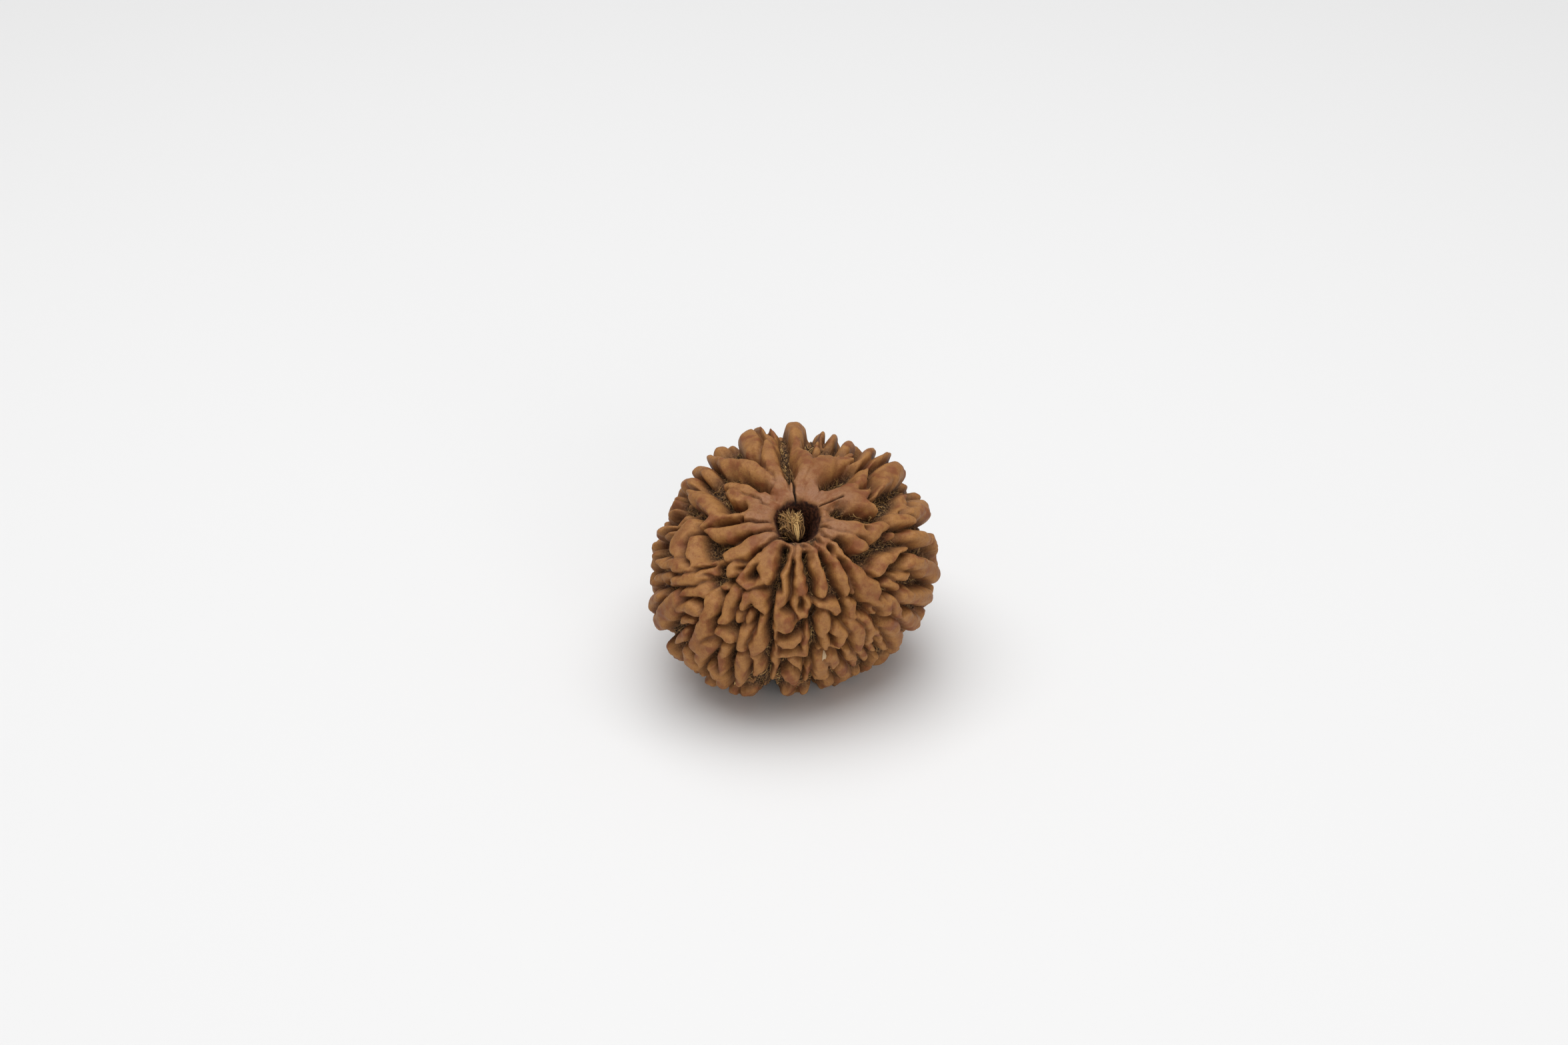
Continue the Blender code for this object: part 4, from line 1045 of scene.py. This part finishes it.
def make_stone(ribs, finish):
    """The ribbed stone in its own frame, in mm, with the measures for its finish."""
    mesh = sphere_mesh("ribbed_stone", SPHERE_LEVEL)
    way = mesh_points(mesh)
    way = gather_round_mouth(way / np.linalg.norm(way, axis=1, keepdims=True))
    radius, crack = fine_radius(way, ribs)
    own = neighbour_mean(mesh, way * radius[:, None], SMOOTH_ROUNDS)
    carry_surface(mesh, way, radius, crack)
    seat = Seat(own)
    set_mesh_points(mesh, seat.place(own))
    stone = add_object("ribbed_stone", mesh)
    thin_mesh(stone, STONE_TRIANGLES)
    stone.data.materials.clear()
    stone.data.materials.append(finish)
    stone.data.shade_smooth()
    return stone, seat


def strand_mesh(name, paths, widths, tones):
    """A closed tapered tube along each path: (strand, step, xyz) and its two radii, in metres."""
    count, steps, _ = paths.shape
    run = np.gradient(paths, axis=1)
    run /= np.linalg.norm(run, axis=2, keepdims=True)
    side = np.cross(run, np.array(STRAND_REFERENCE))
    side /= np.linalg.norm(side, axis=2, keepdims=True)
    other = np.cross(run, side)
    verts = [paths[:, :1]]
    for step in range(1, steps - 1):
        taper = math.sin(math.pi * step / (steps - 1)) ** STRAND_TAPER
        for corner in range(STRAND_SIDES):
            angle = 2 * math.pi * corner / STRAND_SIDES
            broad = math.cos(angle) * taper * widths[:, :1] * side[:, step]
            thin = math.sin(angle) * taper * widths[:, 1:] * other[:, step]
            verts.append((paths[:, step] + broad + thin)[:, None])
    verts.append(paths[:, -1:])
    verts = np.concatenate(verts, 1)
    faces = strand_faces(steps, verts.shape[1])
    faces = (faces[None] + (np.arange(count) * verts.shape[1])[:, None, None]).reshape(-1, 3)
    mesh = bpy.data.meshes.new(name)
    mesh.from_pydata(verts.reshape(-1, 3).tolist(), [], faces.tolist())
    carry(mesh, "tone", np.repeat(tones, verts.shape[1]))
    mesh.shade_smooth()
    return mesh


def strand_faces(steps, each):
    """Corners of one strand's facets: a point at each end and rings between them."""
    faces = []
    last = 1 + (steps - 3) * STRAND_SIDES
    for corner in range(STRAND_SIDES):
        after = (corner + 1) % STRAND_SIDES
        faces.append((0, 1 + after, 1 + corner))
        for ring in range(1, last, STRAND_SIDES):
            faces.append((ring + corner, ring + after, ring + STRAND_SIDES + after))
            faces.append((ring + corner, ring + STRAND_SIDES + after, ring + STRAND_SIDES + corner))
        faces.append((last + corner, last + after, each - 1))
    return np.array(faces)


def tangents(way):
    """Two directions across each way."""
    east = np.cross((0.0, 0.0, 1.0), way)
    east /= np.linalg.norm(east, axis=1, keepdims=True)
    return east, np.cross(way, east)


def valley_turn(way, ribs):
    """The surface's radius at each way, and the angle in which the furrow runs there."""
    east, north = tangents(way)
    here = stone_radius(way, ribs)
    heights = []
    for index in range(VALLEY_DIRECTIONS):
        angle = 2 * math.pi * index / VALLEY_DIRECTIONS
        side = math.cos(angle) * east + math.sin(angle) * north
        probe = way * here[:, None] + VALLEY_PROBE * side
        probe /= np.linalg.norm(probe, axis=1, keepdims=True)
        heights.append(stone_radius(probe, ribs))
    heights = np.array(heights)
    half = VALLEY_DIRECTIONS // 2
    along = heights[:half] + heights[half:]
    return here, along.argmin(0) * math.pi / half


def bed_paths(rng, ribs):
    """Centre lines of the strands that lie in the furrows, in the seed's own frame, in mm."""
    way = rng.normal(size=(BED_TRIES, 3))
    way /= np.linalg.norm(way, axis=1, keepdims=True)
    bare = bare_radius(way)
    depth = bare - stone_radius(way, ribs)
    chance = furrow_share(way * bare[:, None], depth, open_ground(way)) * fade(depth, *BED_DEPTHS)
    chance = np.where(way @ np.array(seed_turn())[2] > BED_LOWEST, chance, 0.0)
    way = way[rng.uniform(size=len(way)) < chance][:BED_STRANDS]
    here, turn = valley_turn(way, ribs)
    count = len(way)
    turn = turn + rng.normal(0.0, BED_STRAY, count)
    bend = rng.normal(0.0, BED_BEND, count)
    length = rng.uniform(*BED_LENGTHS, count)
    lift = rng.uniform(*BED_LIFTS, count)
    east, north = tangents(way)
    paths = []
    for share in np.linspace(-0.5, 0.5, STRAND_STEPS):
        angle = turn + bend * share
        side = np.cos(angle)[:, None] * east + np.sin(angle)[:, None] * north
        spot = way * here[:, None] + side * (share * length)[:, None]
        spot /= np.linalg.norm(spot, axis=1, keepdims=True)
        reach = np.minimum(stone_radius(spot, ribs), here + BED_CLIMB)
        paths.append(spot * (reach + lift + rng.normal(0.0, BED_WAVE, count))[:, None])
    return np.stack(paths, 1)


def make_furrow_fibre(ribs, seat, finish):
    rng = np.random.default_rng(BED_SEED)
    paths = bed_paths(rng, ribs)
    radii = rng.uniform(*BED_RADII, len(paths))
    widths = np.stack([radii * rng.uniform(*BED_FLATNESS, len(paths)), radii], 1)
    tones = rng.beta(*BED_TONES, len(paths))
    mesh = strand_mesh("furrow_fibre", seat.place(paths), widths * MM, tones)
    mesh.materials.append(finish)
    return add_object("furrow_fibre", mesh)


def bundle_paths(rng, count, root, tip, root_spread, tip_spread, bow):
    """Bowed lines from round one spot to round another, each (across, along, reach) of the mouth."""
    starts = np.array(root) + rng.uniform(-1.0, 1.0, (count, 3)) * root_spread
    ends = np.array(tip) + rng.uniform(-1.0, 1.0, (count, 3)) * tip_spread
    middles = (starts + ends) / 2 + rng.normal(0.0, bow, (count, 3))
    paths = []
    for share in np.linspace(0.0, 1.0, STRAND_STEPS):
        paths.append((1 - share) ** 2 * starts + 2 * share * (1 - share) * middles + share ** 2 * ends)
    return np.stack(paths, 1)


def make_tuft(seat, finish):
    """The frayed tuft that stands in the mouth, bundle by bundle."""
    rng = np.random.default_rng(TUFT_SEED)
    line = directions(*MOUTH_AT)
    across = np.cross((0.0, 0.0, 1.0), line)
    across /= np.linalg.norm(across)
    mouth = np.stack([across, np.cross(line, across), line])
    paths, widths, tones = [], [], []
    for count, root, tip, root_spread, tip_spread, bow, radii, tone in TUFT_BUNDLES:
        paths.append(bundle_paths(rng, count, root, tip, root_spread, tip_spread, bow))
        thickness = rng.uniform(*radii, count)
        widths.append(np.stack([thickness * rng.uniform(*TUFT_FLATNESS, count), thickness], 1))
        tones.append(rng.uniform(*tone, count))
    place = seat.place(np.concatenate(paths) @ mouth)
    mesh = strand_mesh("mouth_tuft", place, np.concatenate(widths) * MM, np.concatenate(tones))
    mesh.materials.append(finish)
    return add_object("mouth_tuft", mesh)


def make_camera(centre):
    """The photograph's view: the seed's centre falls on its pixel, at the photograph's scale."""
    focal = LENS_MM / SENSOR_MM * FRAME_WIDTH
    distance = focal / PIXELS_PER_MM * MM
    tilt = math.radians(VIEW_ELEVATION_DEG)
    ahead = Vector((0.0, math.cos(tilt), -math.sin(tilt)))
    right = Vector((1.0, 0.0, 0.0))
    up = right.cross(ahead)
    off_right = (SEED_PIXEL[0] - FRAME_WIDTH / 2) / focal
    off_up = (FRAME_HEIGHT / 2 - SEED_PIXEL[1]) / focal
    eye = Vector(centre) - (ahead + right * off_right + up * off_up) * distance
    data = bpy.data.cameras.new("camera")
    data.lens = LENS_MM
    data.sensor_width = SENSOR_MM
    camera = add_object("camera", data)
    camera.matrix_world = Matrix.Translation(eye) @ Matrix((right, up, -ahead)).transposed().to_4x4()
    bpy.context.scene.camera = camera


def make_floor():
    mesh = bpy.data.meshes.new("table_top")
    bm = bmesh.new()
    bmesh.ops.create_grid(bm, x_segments=1, y_segments=1, size=FLOOR_SIZE / 2)
    bm.to_mesh(mesh)
    bm.free()
    mesh.materials.append(floor_finish())
    add_object("table_top", mesh)


def make_light():
    for name, place, size, watts in SOFTBOXES:
        lamp = bpy.data.lights.new(name, "AREA")
        lamp.size = size
        lamp.energy = watts
        light = add_object(name, lamp)
        light.location = place
        light.rotation_euler = (-light.location).to_track_quat("-Z", "Y").to_euler()
    world = bpy.data.worlds.new("pale_studio")
    world.use_nodes = True
    background = world.node_tree.nodes["Background"]
    background.inputs["Color"].default_value = SURROUND_COLOUR
    background.inputs["Strength"].default_value = SURROUND_STRENGTH
    bpy.context.scene.world = world
    bpy.context.scene.view_settings.view_transform = "Standard"


def main():
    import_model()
    ribs = all_ribs()
    straw = fibre_finish()
    stone, seat = make_stone(ribs, shell_finish())
    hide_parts("stone")
    tuft = make_tuft(seat, straw)
    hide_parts("canal_fibre")
    fibre = make_furrow_fibre(ribs, seat, straw)
    for piece in (stone, tuft, fibre):
        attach(piece, "root")
    make_camera(seat.centre)
    make_floor()
    make_light()


main()
